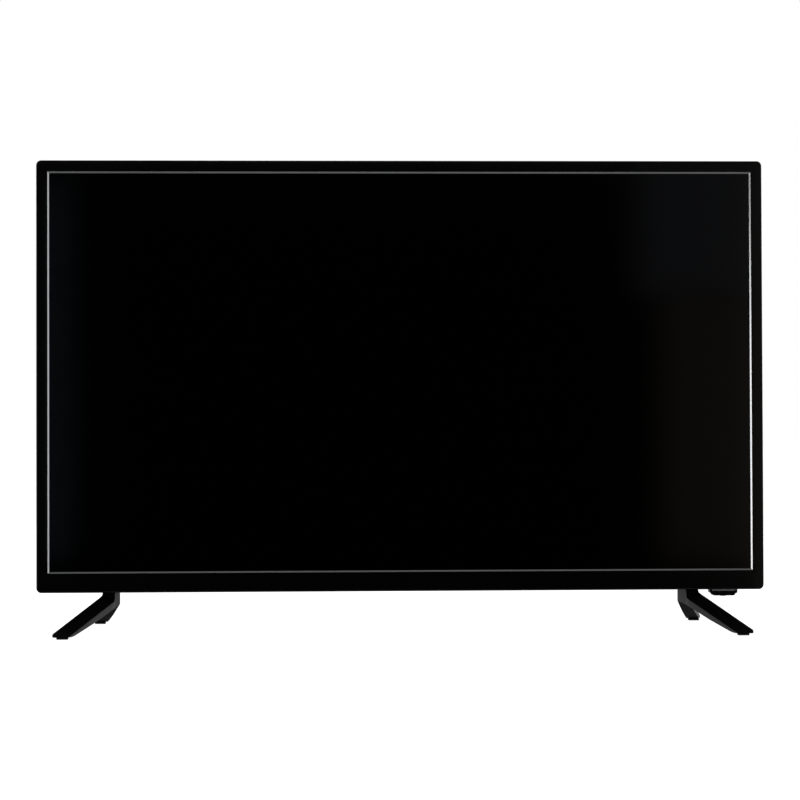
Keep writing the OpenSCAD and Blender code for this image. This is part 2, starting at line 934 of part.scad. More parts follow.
// Flat cable from the main board down to the source board
module panel_ribbon()
    color([0.85, 0.85, 0.82])
        band(ribbon_at[0], [
            [t_plug, ribbon_at[1]],
            [t_plug + 2, ribbon_at[1]],
            [t_plug + 3, ribbon_at[1] - 4],
            [t_plug, ribbon_at[1] - 11],
            [t_back + 6, source_z[1] + 16],
            [t_back + source_t + 1, source_z[1] + 6],
            [t_back + source_t + 1, source_z[1]]
        ], ribbon_w, 0.4);

// Leads from the power board to the main board and from the mains inlet to the power board
module power_leads()
    color([0.15, 0.15, 0.15]) {
        wire([
            at(link_at[0], t_plug, link_at[1]),
            at(link_at[0], t_plug + 3, link_at[1]),
            at(link_at[0] + 4, t_plug + 6, link_at[1]),
            at(link_at[0] + 18, t_plug + 4, link_at[1] - 1),
            at(link_at[0] + 30, t_top, link_at[1] - 3),
            at(0, t_top - 6, link_at[1] - 6),
            at(link_end_at[0] - 30, t_top, link_end_at[1] - 3),
            at(link_end_at[0] - 18, t_plug + 4, link_end_at[1] - 1),
            at(link_end_at[0] - 4, t_plug + 6, link_end_at[1]),
            at(link_end_at[0], t_plug + 3, link_end_at[1]),
            at(link_end_at[0], t_plug, link_end_at[1])
        ], 2);
        wire([
            at(belly_half - inlet_l, inlet_t, inlet_z),
            at(belly_half - inlet_l - 4, inlet_t, inlet_z),
            at(mains_at[0] + 12, inlet_t + 2, inlet_z),
            at(mains_at[0] + 3, t_plug + 6, mains_at[1]),
            at(mains_at[0], t_plug + 3, mains_at[1]),
            at(mains_at[0], t_plug, mains_at[1])
        ], 2);
    }

// Lead that feeds the lamps through a hole in the chassis
module backlight_lead()
    color([0.9, 0.75, 0.1])
        wire([
            at(backlight_at[0], t_plug, backlight_at[1]),
            at(backlight_at[0], t_plug + 3, backlight_at[1]),
            at(backlight_at[0] - 6, t_plug + 5, backlight_at[1]),
            at(backlight_at[0] - 16, t_plug + 4, backlight_at[1] - 1),
            at((backlight_at[0] + backlight_x) / 2 - 6, t_top - 2, led_z[0] + 2),
            at(backlight_x, t_back + 5, led_z[0]),
            at(backlight_x, t_back, led_z[0]),
            at(backlight_x, t_floor, led_z[0])
        ], lead_r);

module speaker_leads()
    color([0.1, 0.1, 0.1]) {
        run_z = box_z + speaker_h + 12;
        wire([
            at(left_speaker_at[0], t_plug, left_speaker_at[1]),
            at(left_speaker_at[0], t_plug + 2, left_speaker_at[1]),
            at(left_speaker_at[0], t_plug + 4, left_speaker_at[1] - 4),
            at(left_speaker_at[0] + 4, t_plug + 2, left_speaker_at[1] - 14),
            at(-speaker_x, speaker_t, box_z + speaker_h + 6),
            at(-speaker_x, speaker_t, box_z + speaker_h + 2),
            at(-speaker_x, speaker_t, box_z + speaker_h)
        ], lead_r);
        wire([
            at(right_speaker_at[0], t_plug, right_speaker_at[1]),
            at(right_speaker_at[0], t_plug + 2, right_speaker_at[1]),
            at(right_speaker_at[0] + 2, t_plug + 4, right_speaker_at[1] - 4),
            at(right_speaker_at[0] + 8, t_top + 2, run_z + 4),
            at(right_speaker_at[0] + 30, t_back + 5, run_z),
            at(speaker_x - 30, t_back + 5, run_z),
            at(speaker_x - 8, speaker_t - 6, run_z),
            at(speaker_x, speaker_t, box_z + speaker_h + 6),
            at(speaker_x, speaker_t, box_z + speaker_h + 2),
            at(speaker_x, speaker_t, box_z + speaker_h)
        ], lead_r);
    }

// Long lead along the floor of the cabinet to the key module
module key_lead()
    color([0.85, 0.85, 0.85]) {
        run_t = t_back - 9;
        run_z = floor_z + 5;
        drop_x = main_x[1] + 6;
        side_x = module_x - 8.5;
        plug_z = collar_z + key_board_t + 1.6;
        wire([
            at(key_at[0], t_plug, key_at[1]),
            at(key_at[0], t_plug + 2, key_at[1]),
            at(key_at[0] + 4, t_plug + 7, key_at[1] - 1),
            at(ribbon_at[0], t_plug + 10, key_at[1] - 5),
            at(drop_x - 4, t_plug + 4, key_at[1] - 12),
            at(drop_x, t_back + 10, key_at[1] - 22),
            at(drop_x, t_back + 10, key_at[1] - 34),
            at(drop_x, t_back + 4, source_z[1] + 4),
            at(drop_x, t_back + 4, run_z + 10),
            at(drop_x + 2, t_back, run_z + 1),
            at(drop_x + 12, run_t, run_z),
            at(0, run_t, run_z),
            at(side_x - 8, run_t, run_z),
            at(side_x, run_t - 3, run_z),
            at(side_x, 12, plug_z),
            at(side_x, 10, plug_z)
        ], lead_r);
    }

// Snap-in appliance inlet with a figure-eight well
module mains_inlet()
    color([0.05, 0.05, 0.05])
        difference() {
            union() {
                block(
                    [belly_half, belly_half + inlet_rim],
                    [inlet_t - 8, inlet_t + 8],
                    [inlet_z - 15, inlet_z + 15]
                );
                block(
                    [belly_half - inlet_l, belly_half + bite],
                    [inlet_t - inlet_h / 2, inlet_t + inlet_h / 2],
                    [inlet_z - inlet_w / 2, inlet_z + inlet_w / 2]
                );
                for (side = [-1, 1])
                    block(
                        [belly_inner - 3, belly_inner],
                        [inlet_t - 3, inlet_t + 3],
                        [inlet_z + side * inlet_w / 2 - 1, inlet_z + side * inlet_w / 2 + 1]
                    );
            }
            for (side = [-1, 1])
                bar_x([inlet_end, belly_half + inlet_rim + over], inlet_t, inlet_z + side * pin_z, 4.4);
            block(
                [inlet_end, belly_half + inlet_rim + over],
                [inlet_t - 3.4, inlet_t + 3.4],
                [inlet_z - pin_z, inlet_z + pin_z]
            );
        }

module inlet_pins()
    color([0.8, 0.8, 0.78])
        for (side = [-1, 1])
            bar_x([inlet_end, belly_half - 1], inlet_t, inlet_z + side * pin_z, 1.2);

// Closed plastic box behind each speaker
module speaker_boxes()
    color([0.08, 0.08, 0.08])
        both_sides()
            difference() {
                block(
                    [speaker_x - speaker_w / 2, speaker_x + speaker_w / 2],
                    [speaker_t - speaker_d / 2, speaker_t + speaker_d / 2],
                    [box_z, box_z + speaker_h]
                );
                block(
                    [speaker_x - speaker_w / 2 + box_wall, speaker_x + speaker_w / 2 - box_wall],
                    [speaker_t - speaker_d / 2 + box_wall, speaker_t + speaker_d / 2 - box_wall],
                    [box_z + box_wall, box_z + speaker_h - box_wall]
                );
                bar_z(speaker_x, speaker_t, [box_z - over, box_z + box_wall + over], basket_r + 0.3);
            }

// A shape turned about a speaker's upright axis, its heights counted from the flange
module turned(side)
    translate([side * speaker_x, front_y + speaker_t, flange_z])
        rotate_extrude()
            children();

module speaker_frames()
    color([0.3, 0.3, 0.32])
        for (side = [-1, 1])
            turned(side)
                polygon([
                    [rim_r, 0], [driver_r, 0], [driver_r, flange_t], [basket_r, flange_t],
                    [basket_r, basket_h], [coil_r + coil_gap, basket_h],
                    [coil_r + coil_gap, basket_h - 2], [rim_r, basket_h - 2]
                ]);

module speaker_magnets()
    color([0.22, 0.22, 0.23])
        for (side = [-1, 1])
            turned(side)
                polygon([
                    [0, basket_h - 2], [pole_r, basket_h - 2], [pole_r, basket_h + 6], [7, basket_h + 6],
                    [7, basket_h], [13, basket_h], [13, basket_h + 8], [0, basket_h + 8]
                ]);

// Cone with its dust cap and coil former
module cone(side)
    color([0.06, 0.06, 0.06])
        turned(side)
            polygon([
                [0, 3.6], [coil_r - 0.6, 6], [cone_r, cone_low], [cone_r, cone_low + 0.6],
                [coil_r, 6.5], [coil_r, basket_h + 1], [coil_r - 0.4, basket_h + 1],
                [coil_r - 0.4, 6.6], [0, 4.2]
            ]);

module left_cone() cone(-1);
module right_cone() cone(1);

// Half-round roll between the cone and the frame
module surround(side) {
    thick = 0.5;
    mid = (cone_r + rim_r) / 2;
    roll = (rim_r - cone_r) / 2;
    roll_z = cone_low + 0.4;
    color([0.14, 0.14, 0.14])
        turned(side)
            polygon(concat(
                [[cone_r, cone_low]],
                [for (a = [180 : -22.5 : 0]) [mid + roll * cos(a), roll_z + roll * sin(a)]],
                [[rim_r, cone_low], [rim_r - thick, cone_low]],
                [
                    for (a = [0 : 22.5 : 180])
                        [mid + (roll - thick) * cos(a), roll_z + (roll - thick) * sin(a)]
                ],
                [[cone_r + thick, cone_low]]
            ));
}

module left_surround() surround(-1);
module right_surround() surround(1);

// Foam rings between the speakers and the grille
module speaker_gaskets()
    color([0.1, 0.1, 0.1])
        both_sides()
            difference() {
                bar_z(speaker_x, speaker_t, [floor_z, flange_z], driver_r);
                bar_z(speaker_x, speaker_t, [floor_z - over, flange_z + over], rim_r);
            }

// Tab that hangs under the bezel, with a collar up through its wall
module ir_housing()
    color([0.03, 0.03, 0.035]) {
        round_r = 1.5;
        lip_h = 3.2;
        throat = 1.8;
        clip_x = collar[1] + 0.5;
        difference() {
            union() {
                along_y(module_t)
                    translate([module_x, 0])
                        polygon(concat(
                            [[-module_w / 2, base], [-module_w / 2, base - lip_h]],
                            arc(-module_low_w / 2 + round_r, module_low + round_r, round_r, 180),
                            arc(module_low_w / 2 - round_r, module_low + round_r, round_r, 270),
                            [[module_w / 2, base - lip_h], [module_w / 2, base]]
                        ));
                module_block(collar, collar_t, [base - bite, collar_z]);
                for (side = [-1, 1])
                    module_block(
                        [side * clip_x - 0.6, side * clip_x + 0.6],
                        [7, 11],
                        [base + bezel_wall, collar_z]
                    );
            }
            module_block(
                [collar[0] + module_wall, collar[1] - module_wall],
                [collar_t[0] + module_wall, collar_t[1] - module_wall],
                [base - throat - gap, collar_z + over]
            );
            module_block(
                [-module_low_w / 2 + 1, module_low_w / 2 - 1],
                [module_t[0] + module_wall, module_t[1] - module_wall],
                [module_low + module_wall, base - throat]
            );
            module_block(window_x, [module_t[0] - over, module_t[0] + module_wall], window_z);
            bar_z(module_x, module_mid, [module_low - over, module_low + module_wall + over], key_r + gap);
        }
    }

module module_block(x, t, z)
    block([module_x + x[0], module_x + x[1]], t, z);

module ir_window()
    color([0.6, 0.6, 0.62])
        module_block(window_x, [module_t[0], module_t[0] + module_wall], window_z);

// Receiver on three legs under the key board
module ir_receiver()
    color([0.08, 0.08, 0.09]) {
        mid = -6.7;
        leg_w = 0.4;
        leg_pitch = 1.1;
        module_block([mid - 1.7, mid + 1.7], [5.4, 8.4], [base - 4, base - 0.6]);
        for (i = [-1, 0, 1])
            module_block(
                [mid + i * leg_pitch - leg_w / 2, mid + i * leg_pitch + leg_w / 2],
                [6.9 - leg_w / 2, 6.9 + leg_w / 2],
                [base - 0.6 - bite, collar_z]
            );
    }

// Small board on the collar, with the header of its lead
module key_board()
    color([0.08, 0.3, 0.15]) {
        top_z = collar_z + key_board_t;
        module_block([-13, 13], [3.6, 14.4], [collar_z, top_z]);
        module_block([-12, -5], [6, 10], [top_z - bite, top_z + 3.2]);
    }

module tact_switch()
    color([0.15, 0.15, 0.15])
        difference() {
            module_block([-3, 3], [module_mid - 3, module_mid + 3], [tact_z, collar_z]);
            bar_z(
                module_x,
                module_mid,
                [tact_z - over, tact_z + plunger_in + key_travel + gap],
                plunger_r + gap
            );
        }

// Key cap, its retaining flange and the plunger that it carries into the switch
module power_key()
    color([0.05, 0.05, 0.055]) {
        proud = 0.6;
        flange = 0.8;
        shelf = module_low + module_wall + 0.05;
        bar_z(module_x, module_mid, [module_low - proud, shelf + flange / 2], key_r);
        bar_z(module_x, module_mid, [shelf, shelf + flange], key_r + 0.9);
        bar_z(module_x, module_mid, [shelf + flange - bite, tact_z + plunger_in], plunger_r);
    }

// Thin upper back with tapered edges, cut away over the electronics
module rear_panel()
    color([0.05, 0.05, 0.055])
        difference() {
            union() {
                difference() {
                    intersection() {
                        along_y([bezel_depth, thin_depth])
                            polygon(rounded(cabinet_w, [base, top], corner_r));
                        panel_form(0, bezel_depth, thin_depth);
                    }
                    panel_form(cover_wall, bezel_depth - over, t_panel);
                }
                for (p = panel_screws)
                    bar_y(p[0], p[1], [t_seat, t_panel + bite], panel_post_r + 2);
            }
            block(
                [-belly_half + panel_lap, belly_half - panel_lap],
                [bezel_depth - over, thin_depth + over],
                [base - over, belly_top - panel_lap]
            );
            block(
                [-belly_half, belly_half],
                [bezel_depth - over, thin_depth + over],
                [base - over, floor_z]
            );
            for (p = panel_screws) {
                bar_y(p[0], p[1], [t_panel, thin_depth + over], cover_head_r + 0.6);
                bar_y(p[0], p[1], [t_seat - over, thin_depth], cover_screw_r + pass);
            }
        }

// The tapered block inside which the rear panel lies, drawn in by a wall
module panel_form(wall, t0, t1) {
    half = cabinet_w / 2 - wall;
    intersection() {
        along_z([base - over, top + over])
            polygon([[-half, t0], [half, t0], [half - panel_taper, t1], [-half + panel_taper, t1]]);
        along_x([-cabinet_w, cabinet_w])
            polygon([
                [t0, base + wall], [t1, base + wall],
                [t1, top - panel_taper - wall], [t0, top - wall]
            ]);
    }
}

// The bevelled block of the deep lower back, drawn in by a wall
module belly_form(wall, t0, bevel) {
    half = belly_half - wall;
    back = belly_depth - wall;
    drop = wall / cos(belly_angle);
    fall = belly_slope / (belly_depth - thin_depth);
    intersection() {
        along_z([base - over, belly_top + over])
            polygon([
                [-half, t0], [half, t0], [half, back - bevel], [half - bevel, back],
                [-half + bevel, back], [-half, back - bevel]
            ]);
        along_x([-cabinet_w, cabinet_w])
            polygon([
                [t0, base + wall], [back - bevel, base + wall], [back, base + wall + bevel],
                [back, belly_top - drop - fall * (back - thin_depth)],
                [t0, belly_top - drop - fall * (t0 - thin_depth)]
            ]);
    }
}

// Deep lower cover with vents, speaker grilles, screw wells and the sockets' windows
module belly_cover()
    color([0.06, 0.06, 0.065])
        difference() {
            union() {
                difference() {
                    belly_form(0, thin_depth, belly_bevel);
                    belly_form(cover_wall, thin_depth - over, bevel_in);
                }
                block([-belly_half, belly_half], [bezel_depth, thin_depth + bite], [base, floor_z]);
                for (p = wells)
                    bar_y(p[0], p[1], [t_well, belly_depth - cover_wall + bite], well_r + well_wall);
            }
            for (p = wells) {
                bar_y(p[0], p[1], [t_well + well_wall, belly_depth + over], well_r);
                bar_y(p[0], p[1], [t_well - over, belly_depth], cover_screw_r + pass);
            }
            for (x = vesa_x, z = vesa_z)
                bar_y(x, z, [belly_depth - cover_wall - over, belly_depth + over], standoff_r + gap);
            vent_cuts();
            both_sides() {
                grille_cuts();
                foot_cuts();
            }
            block([-belly_half - over, -belly_inner + over], io_t, io_z);
            block(
                [belly_inner - over, belly_half + over],
                [inlet_t - inlet_h / 2 - gap, inlet_t + inlet_h / 2 + gap],
                [inlet_z - inlet_w / 2 - gap, inlet_z + inlet_w / 2 + gap]
            );
        }

// Upright slots through the sloping top of the deep cover
module vent_cuts()
    for (i = [0 : vents - 1])
        tile(
            (i - (vents - 1) / 2) * vent_pitch,
            belly_top - (belly_slope - 1) / 2,
            vent_w,
            belly_slope - 9,
            [thin_depth + 7, belly_depth + over]
        );

// Slots under a speaker
module grille_cuts()
    for (i = [-4 : 4], row = [-1, 1])
        block(
            [speaker_x + i * grille_pitch - grille_w / 2, speaker_x + i * grille_pitch + grille_w / 2],
            [speaker_t + row * 8 - 6, speaker_t + row * 8 + 6],
            [base - over, floor_z + over]
        );

// Slot for a foot's tenon
module foot_cuts()
    block(
        [tenon_x[0] - gap, tenon_x[1] + gap],
        [tenon_t[0] - gap, tenon_t[1] + gap],
        [base - over, floor_z + over]
    );

// Plate round the sockets, set in the deep cover's side
module io_plate()
    color([0.09, 0.09, 0.095]) {
        x = [-belly_half - over, -belly_inner + over];
        ease = 0.3;
        difference() {
            block(
                [-belly_half + plate_in, -belly_inner],
                [io_t[0] + bite, io_t[1] - bite],
                [io_z[0] + bite, io_z[1] - bite]
            );
            bar_x(x, aerial_t, port_z[0], aerial_r + ease);
            for (z = [port_z[1], port_z[2]])
                bar_x(x, jack_t, z, plug_r);
            block(
                x,
                [t_top + bite, t_top + usb_h + ease],
                [port_z[3] - usb_w / 2 - ease, port_z[3] + usb_w / 2 + ease]
            );
            for (z = [port_z[4], port_z[5]])
                block(
                    x,
                    [t_top + bite, t_top + hdmi_h + ease],
                    [z - hdmi_w / 2 - ease, z + hdmi_w / 2 + ease]
                );
        }
    }

module cover_screws()
    color([0.1, 0.1, 0.1]) {
        for (p = panel_screws)
            screw_y(p[0], p[1], t_panel, panel_screw_l, cover_screw_r, cover_head_r, head_h);
        for (p = wells)
            screw_y(p[0], p[1], t_well + well_wall, well_screw_l, cover_screw_r, cover_head_r, head_h);
    }

// Steel brackets on the chassis that the feet are screwed to
module foot_brackets()
    color([0.7, 0.71, 0.72]) {
        shelf_z = [floor_z, floor_z + bracket_plate];
        both_sides()
            difference() {
                union() {
                    block(bracket_x, [t_back, t_back + bracket_t], [floor_z, floor_z + bracket_h]);
                    block(bracket_x, [bezel_depth + 1, front_set + neck_y[1]], shelf_z);
                }
                for (t = foot_screw_t)
                    bar_z(neck_mid, t, [shelf_z[0] - over, shelf_z[1] + over], foot_screw_r + slack);
                for (z = bracket_screw_z())
                    bar_y(neck_mid, z, [t_back - over, t_back + bracket_t + over], cover_screw_r + gap);
            }
    }

// A four-cornered section of a leg at a depth y, from its inner to its outer side
function leg_ring(y, inner, outer, low, inner_top, outer_top) = [
    [inner, y, low], [inner, y, inner_top], [outer, y, outer_top], [outer, y, low]
];

// A section of the straight front leg, a share f of the way from the neck to the toe
function front_ring(f, low) =
    let (inner = foot_x + front_splay * f, w = neck_w + (toe_w - neck_w) * f)
    leg_ring(
        neck_y[0] + bite - (foot_y + neck_y[0] + bite) * f,
        inner,
        inner + w,
        low,
        (lift - 8) * (1 - f) + (toe_h - 1.8) * f,
        (lift - 2.4) * (1 - f) + toe_h * f
    );

// One foot: an upright neck with a front and a rear leg, and a tenon up into the cabinet
module foot() {
    outer = foot_x + neck_w;
    sole = 8;
    sole_h = 8;
    sole_f = 1 - sole / (foot_y + neck_y[0]);
    hock_y = (neck_y[1] + foot_y) / 2;
    heel_out = foot_x + rear_splay;
    heel_w = toe_w - 3;
    hock_in = foot_x + rear_splay * 0.5;
    hock_w = (neck_w + heel_w) / 2;
    hock_z = arch_z * 0.44;
    difference() {
        union() {
            translate([foot_x, neck_y[0], arch_z])
                cube([neck_w, neck_d, lift - arch_z]);
            loft([
                front_ring(1, pad_h),
                front_ring(sole_f, pad_h),
                front_ring(0.45, arch_z / 2),
                front_ring(0, arch_z)
            ]);
            loft([
                leg_ring(neck_y[1] - bite, foot_x, outer, arch_z, arch_z + 6, arch_z + 6),
                leg_ring(hock_y, hock_in, hock_in + hock_w, hock_z, hock_z + 5, hock_z + 5),
                leg_ring(foot_y - sole, heel_out - 2.5, heel_out - 2.5 + heel_w, pad_h, sole_h, sole_h),
                leg_ring(foot_y, heel_out, heel_out + heel_w, pad_h, toe_h, toe_h)
            ]);
            block(tenon_x, tenon_t, [lift - bite, floor_z]);
        }
        for (t = foot_screw_t) {
            bar_z(neck_mid, t, [arch_z - over, head_z], foot_head_r + pass);
            bar_z(neck_mid, t, [arch_z, floor_z + over], foot_screw_r + gap);
        }
    }
}

module left_foot()
    color([0.03, 0.03, 0.03])
        mirror([1, 0, 0])
            foot();

module right_foot()
    color([0.03, 0.03, 0.03])
        foot();

// Rubber pads under the toes
module foot_pads()
    color([0.1, 0.1, 0.1])
        both_sides() {
            translate([foot_x + front_splay + pad_in, -foot_y + 1, 0])
                cube([pad_w, pad_l, pad_h]);
            translate([foot_x + rear_splay + pad_in - 0.6, foot_y - 1 - pad_l, 0])
                cube([pad_w, pad_l, pad_h]);
        }

// Screws up through the necks into the brackets
module foot_screws()
    color([0.5, 0.5, 0.52])
        both_sides()
            for (t = foot_screw_t) {
                bar_z(neck_mid, t, [head_z - foot_head_h, head_z], foot_head_r);
                bar_z(neck_mid, t, [head_z - bite, floor_z + bracket_plate + screw_past], foot_screw_r);
            }

front_bezel();
screen_trim();
panel_gasket();
front_polarizer();
lcd_cell();
driver_films();
source_board();
middle_frame();
optical_films();
diffuser_plate();
plate_posts();
reflector_sheet();
led_bars();
led_lenses();
rear_chassis();
vesa_standoffs();
main_board();
board_chips();
chip_heatsink();
tuner_can();
hdmi_sockets();
usb_socket();
audio_jacks();
aerial_socket();
power_board();
transformer();
mains_capacitor();
board_capacitors();
mains_inlet();
inlet_pins();
board_headers();
board_screws();
panel_ribbon();
power_leads();
backlight_lead();
speaker_leads();
key_lead();
speaker_boxes();
speaker_frames();
speaker_magnets();
left_cone();
right_cone();
left_surround();
right_surround();
speaker_gaskets();
ir_housing();
ir_window();
ir_receiver();
key_board();
tact_switch();
power_key();
rear_panel();
belly_cover();
io_plate();
cover_screws();
foot_brackets();
left_foot();
right_foot();
foot_pads();
foot_screws();
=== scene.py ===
"""Flat screen television on two splayed feet, dressed for a studio picture.

Lengths are in metres in the part's own frame: X to the viewer's right, Y to the back, Z up.
"""

import math

import bmesh
import bpy
from mathutils import Matrix, Vector


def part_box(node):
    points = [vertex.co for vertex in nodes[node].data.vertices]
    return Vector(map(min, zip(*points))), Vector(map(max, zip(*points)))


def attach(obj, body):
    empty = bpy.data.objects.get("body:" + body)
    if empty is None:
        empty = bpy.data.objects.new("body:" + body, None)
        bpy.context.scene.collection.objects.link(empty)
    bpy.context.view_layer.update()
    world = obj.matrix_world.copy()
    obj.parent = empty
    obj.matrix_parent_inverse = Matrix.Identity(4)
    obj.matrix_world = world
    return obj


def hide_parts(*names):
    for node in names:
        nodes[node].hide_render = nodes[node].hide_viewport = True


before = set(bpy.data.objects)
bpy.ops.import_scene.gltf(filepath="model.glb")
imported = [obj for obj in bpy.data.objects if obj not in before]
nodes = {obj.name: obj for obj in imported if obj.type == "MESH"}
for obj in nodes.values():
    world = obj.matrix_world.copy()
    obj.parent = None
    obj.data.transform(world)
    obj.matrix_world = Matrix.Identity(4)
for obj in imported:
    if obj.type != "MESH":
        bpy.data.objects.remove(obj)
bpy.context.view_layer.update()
scene = bpy.context.scene
MM = 0.001

# Camera: a long lens a little left of the middle and low, level with the lower half of the picture.
# It turns slightly to the right and up, and leans by a sixth of a degree.
eye = Vector((-0.08, -2.224, 0.196))
yaw, pitch, roll = math.radians(2.041), math.radians(0.901), math.radians(-0.18)
ahead = Vector((math.sin(yaw) * math.cos(pitch), math.cos(yaw) * math.cos(pitch), math.sin(pitch)))
level = Vector((math.cos(yaw), -math.sin(yaw), 0))
upward = level.cross(ahead)
across = level * math.cos(roll) + upward * math.sin(roll)
upward = across.cross(ahead)
lens = bpy.data.cameras.new("studio_camera")
lens.sensor_width = 36
lens.lens = 99.27
camera = bpy.data.objects.new("studio_camera", lens)
camera.matrix_world = Matrix((
    (across.x, upward.x, -ahead.x, eye.x),
    (across.y, upward.y, -ahead.y, eye.y),
    (across.z, upward.z, -ahead.z, eye.z),
    (0, 0, 0, 1),
))
scene.collection.objects.link(camera)
scene.camera = camera


# Studio: a white sweep behind the set, brightest on its flanks, a dark room in front and a pale floor.
# Tall soft panels stand at both sides and behind, and one hangs overhead.
# Small faint panels in front give the glossy screen and bezel something to mirror.
class Wire:
    """A socket of a node tree. Arithmetic on it adds Math nodes, and node() adds any other."""

    def __init__(self, tree, socket=None):
        self.tree, self.socket = tree, socket

    def node(self, kind, settings=None, inputs=None, pick=0):
        made = self.tree.nodes.new(kind)
        for name, value in (settings or {}).items():
            setattr(made, name, value)
        for name, value in (inputs or {}).items():
            if isinstance(value, Wire):
                self.tree.links.new(value.socket, made.inputs[name])
            else:
                made.inputs[name].default_value = value
        return Wire(self.tree, made.outputs[pick] if len(made.outputs) else None)

    def out(self, name):
        return Wire(self.tree, self.socket.node.outputs[name])

    def math(self, operation, a, b=0.0):
        return self.node("ShaderNodeMath", {"operation": operation}, {0: a, 1: b})

    def __add__(self, other):
        return self.math("ADD", self, other)

    def __sub__(self, other):
        return self.math("SUBTRACT", self, other)

    def __rsub__(self, other):
        return self.math("SUBTRACT", other, self)

    def __mul__(self, other):
        return self.math("MULTIPLY", self, other)

    __radd__ = __add__
    __rmul__ = __mul__

    def ramp(self, low, high):
        return self.node(
            "ShaderNodeMapRange",
            {"interpolation_type": "SMOOTHSTEP"},
            {"Value": self, "From Min": low, "From Max": high},
        )

    def blend(self, first, second):
        return self.node("ShaderNodeMix", {"data_type": "RGBA"}, {0: self, 6: first, 7: second}, 2)


scene.view_settings.view_transform = "Standard"
scene.view_settings.look = "None"
world = bpy.data.worlds.new("studio")
scene.world = world
world.use_nodes = True
world.node_tree.nodes.clear()
sky = Wire(world.node_tree)
aim = sky.node("ShaderNodeSeparateXYZ", None, {0: sky.node("ShaderNodeTexCoord", None, None, "Generated")})
flank_glow, centre_glow, pole_glow, floor_glow, room_glow = 1.25, 0.1, 0.15, 0.3, 0.0004
centred = aim.out("Y").ramp(0.75, 0.95)
steep = sky.math("ABSOLUTE", aim.out("Z")).ramp(0.25, 0.7)
spread = flank_glow - centred * (flank_glow - centre_glow)
behind = aim.out("Y").ramp(0.05, 0.45) * spread * (1 - steep * 0.95)
below = (0 - aim.out("Z")).ramp(0.75, 0.98) * pole_glow
above = aim.out("Z").ramp(0.7, 0.95) * pole_glow
ahead_floor = (0 - aim.out("Z")).ramp(0.15, 0.5) * (0 - aim.out("Y")).ramp(0.3, 0.6) * floor_glow
glow = behind + below + above + ahead_floor + room_glow
room = sky.node("ShaderNodeBackground", None, {"Color": (1, 1, 1, 1), "Strength": glow})
sweep = sky.node("ShaderNodeBackground", None, {"Color": (1, 1, 1, 1), "Strength": 1.0})
seen = sky.node("ShaderNodeLightPath").out("Is Camera Ray")
backdrop = sky.node("ShaderNodeMixShader", None, {0: seen, 1: room, 2: sweep})
sky.node("ShaderNodeOutputWorld", None, {"Surface": backdrop})


def soft_panel(name, place, target, width, height, radiance, colour=(1, 1, 1)):
    """An area light of a given brightness, unseen by the camera itself."""
    light = bpy.data.lights.new(name, "AREA")
    light.shape = "RECTANGLE"
    light.size, light.size_y = width, height
    light.energy = radiance * math.pi * width * height
    light.color = colour
    lamp = bpy.data.objects.new(name, light)
    lamp.location = place
    lamp.rotation_euler = (Vector(target) - Vector(place)).to_track_quat("-Z", "Y").to_euler()
    lamp.visible_camera = False
    scene.collection.objects.link(lamp)


soft_panel("left_panel", (-1.9, -0.55, 0.10), (0.3, -0.02, 0.2), 1.0, 0.95, 1.75)
soft_panel("right_panel", (1.9, -0.5, 0.35), (-0.3, -0.02, 0.25), 1.0, 1.4, 0.75)
soft_panel("front_right_panel", (1.15, -2.3, 0.25), (1.15, 0, 0.25), 0.7, 1.2, 0.15, (1.0, 0.96, 0.9))
soft_panel("front_cool_panel", (0.69, -2.3, 0.68), (0.69, 0, 0.68), 0.26, 0.4, 0.085, (0.86, 0.9, 1.0))
soft_panel("front_warm_panel", (0.71, -2.3, 0.2), (0.71, 0, 0.2), 0.2, 0.54, 0.08, (1.0, 0.83, 0.68))
soft_panel("front_left_strip", (-0.618, -2.3, 0.33), (-0.618, 0, 0.33), 0.012, 0.76, 0.5, (0.6, 0.82, 1.0))
soft_panel("front_top_panel", (0, -2.3, 0.92), (0, 0, 0.92), 1.4, 0.3, 0.085)
soft_panel("back_left_panel", (-1.3, 1.9, 1.1), (0, 0.05, 0.2), 1.2, 1.2, 2.2)
soft_panel("back_right_panel", (1.6, 1.7, 0.9), (0, 0.05, 0.2), 0.9, 1.4, 1.6)
soft_panel("top_panel", (0, 0.9, 2.0), (0, 0.05, 0.2), 1.4, 1.0, 0.9)


def new_material(name):
    """A material with one Principled shader: gives it, its shader node and a start for wires."""
    material = bpy.data.materials.new(name)
    material.use_nodes = True
    tree = material.node_tree
    return material, tree.nodes["Principled BSDF"], Wire(tree)


def new_piece(name, mesh, material=None):
    """An object at the origin for a mesh that is already in its place."""
    thing = bpy.data.objects.new(name, mesh)
    if material:
        mesh.materials.clear()
        mesh.materials.append(material)
    scene.collection.objects.link(thing)
    return thing


floor_half = 30
floor_mesh = bpy.data.meshes.new("pale_floor")
floor_mesh.from_pydata(
    [(x * floor_half, y * floor_half, 0) for x, y in ((-1, -1), (1, -1), (1, 1), (-1, 1))], [], [(0, 1, 2, 3)]
)
floor_paint, shader, _ = new_material("pale_floor")
shader.inputs["Base Color"].default_value = (0.6, 0.6, 0.6, 1)
shader.inputs["Roughness"].default_value = 0.9
shader.inputs["Specular IOR Level"].default_value = 0
shader.inputs["Emission Color"].default_value = (1, 1, 1, 1)
shader.inputs["Emission Strength"].default_value = 0.95
pale_floor = new_piece("pale_floor", floor_mesh, floor_paint)
pale_floor.visible_glossy = False
pale_floor.visible_diffuse = False


# Light box: a zinc-coated steel tray that carries the panel in front and the boards behind.
# The tray is pressed from sheet, and its posts are riveted in.
def object_place(start):
    """The place of a point on its piece, in metres."""
    return start.node("ShaderNodeTexCoord", None, None, "Object")


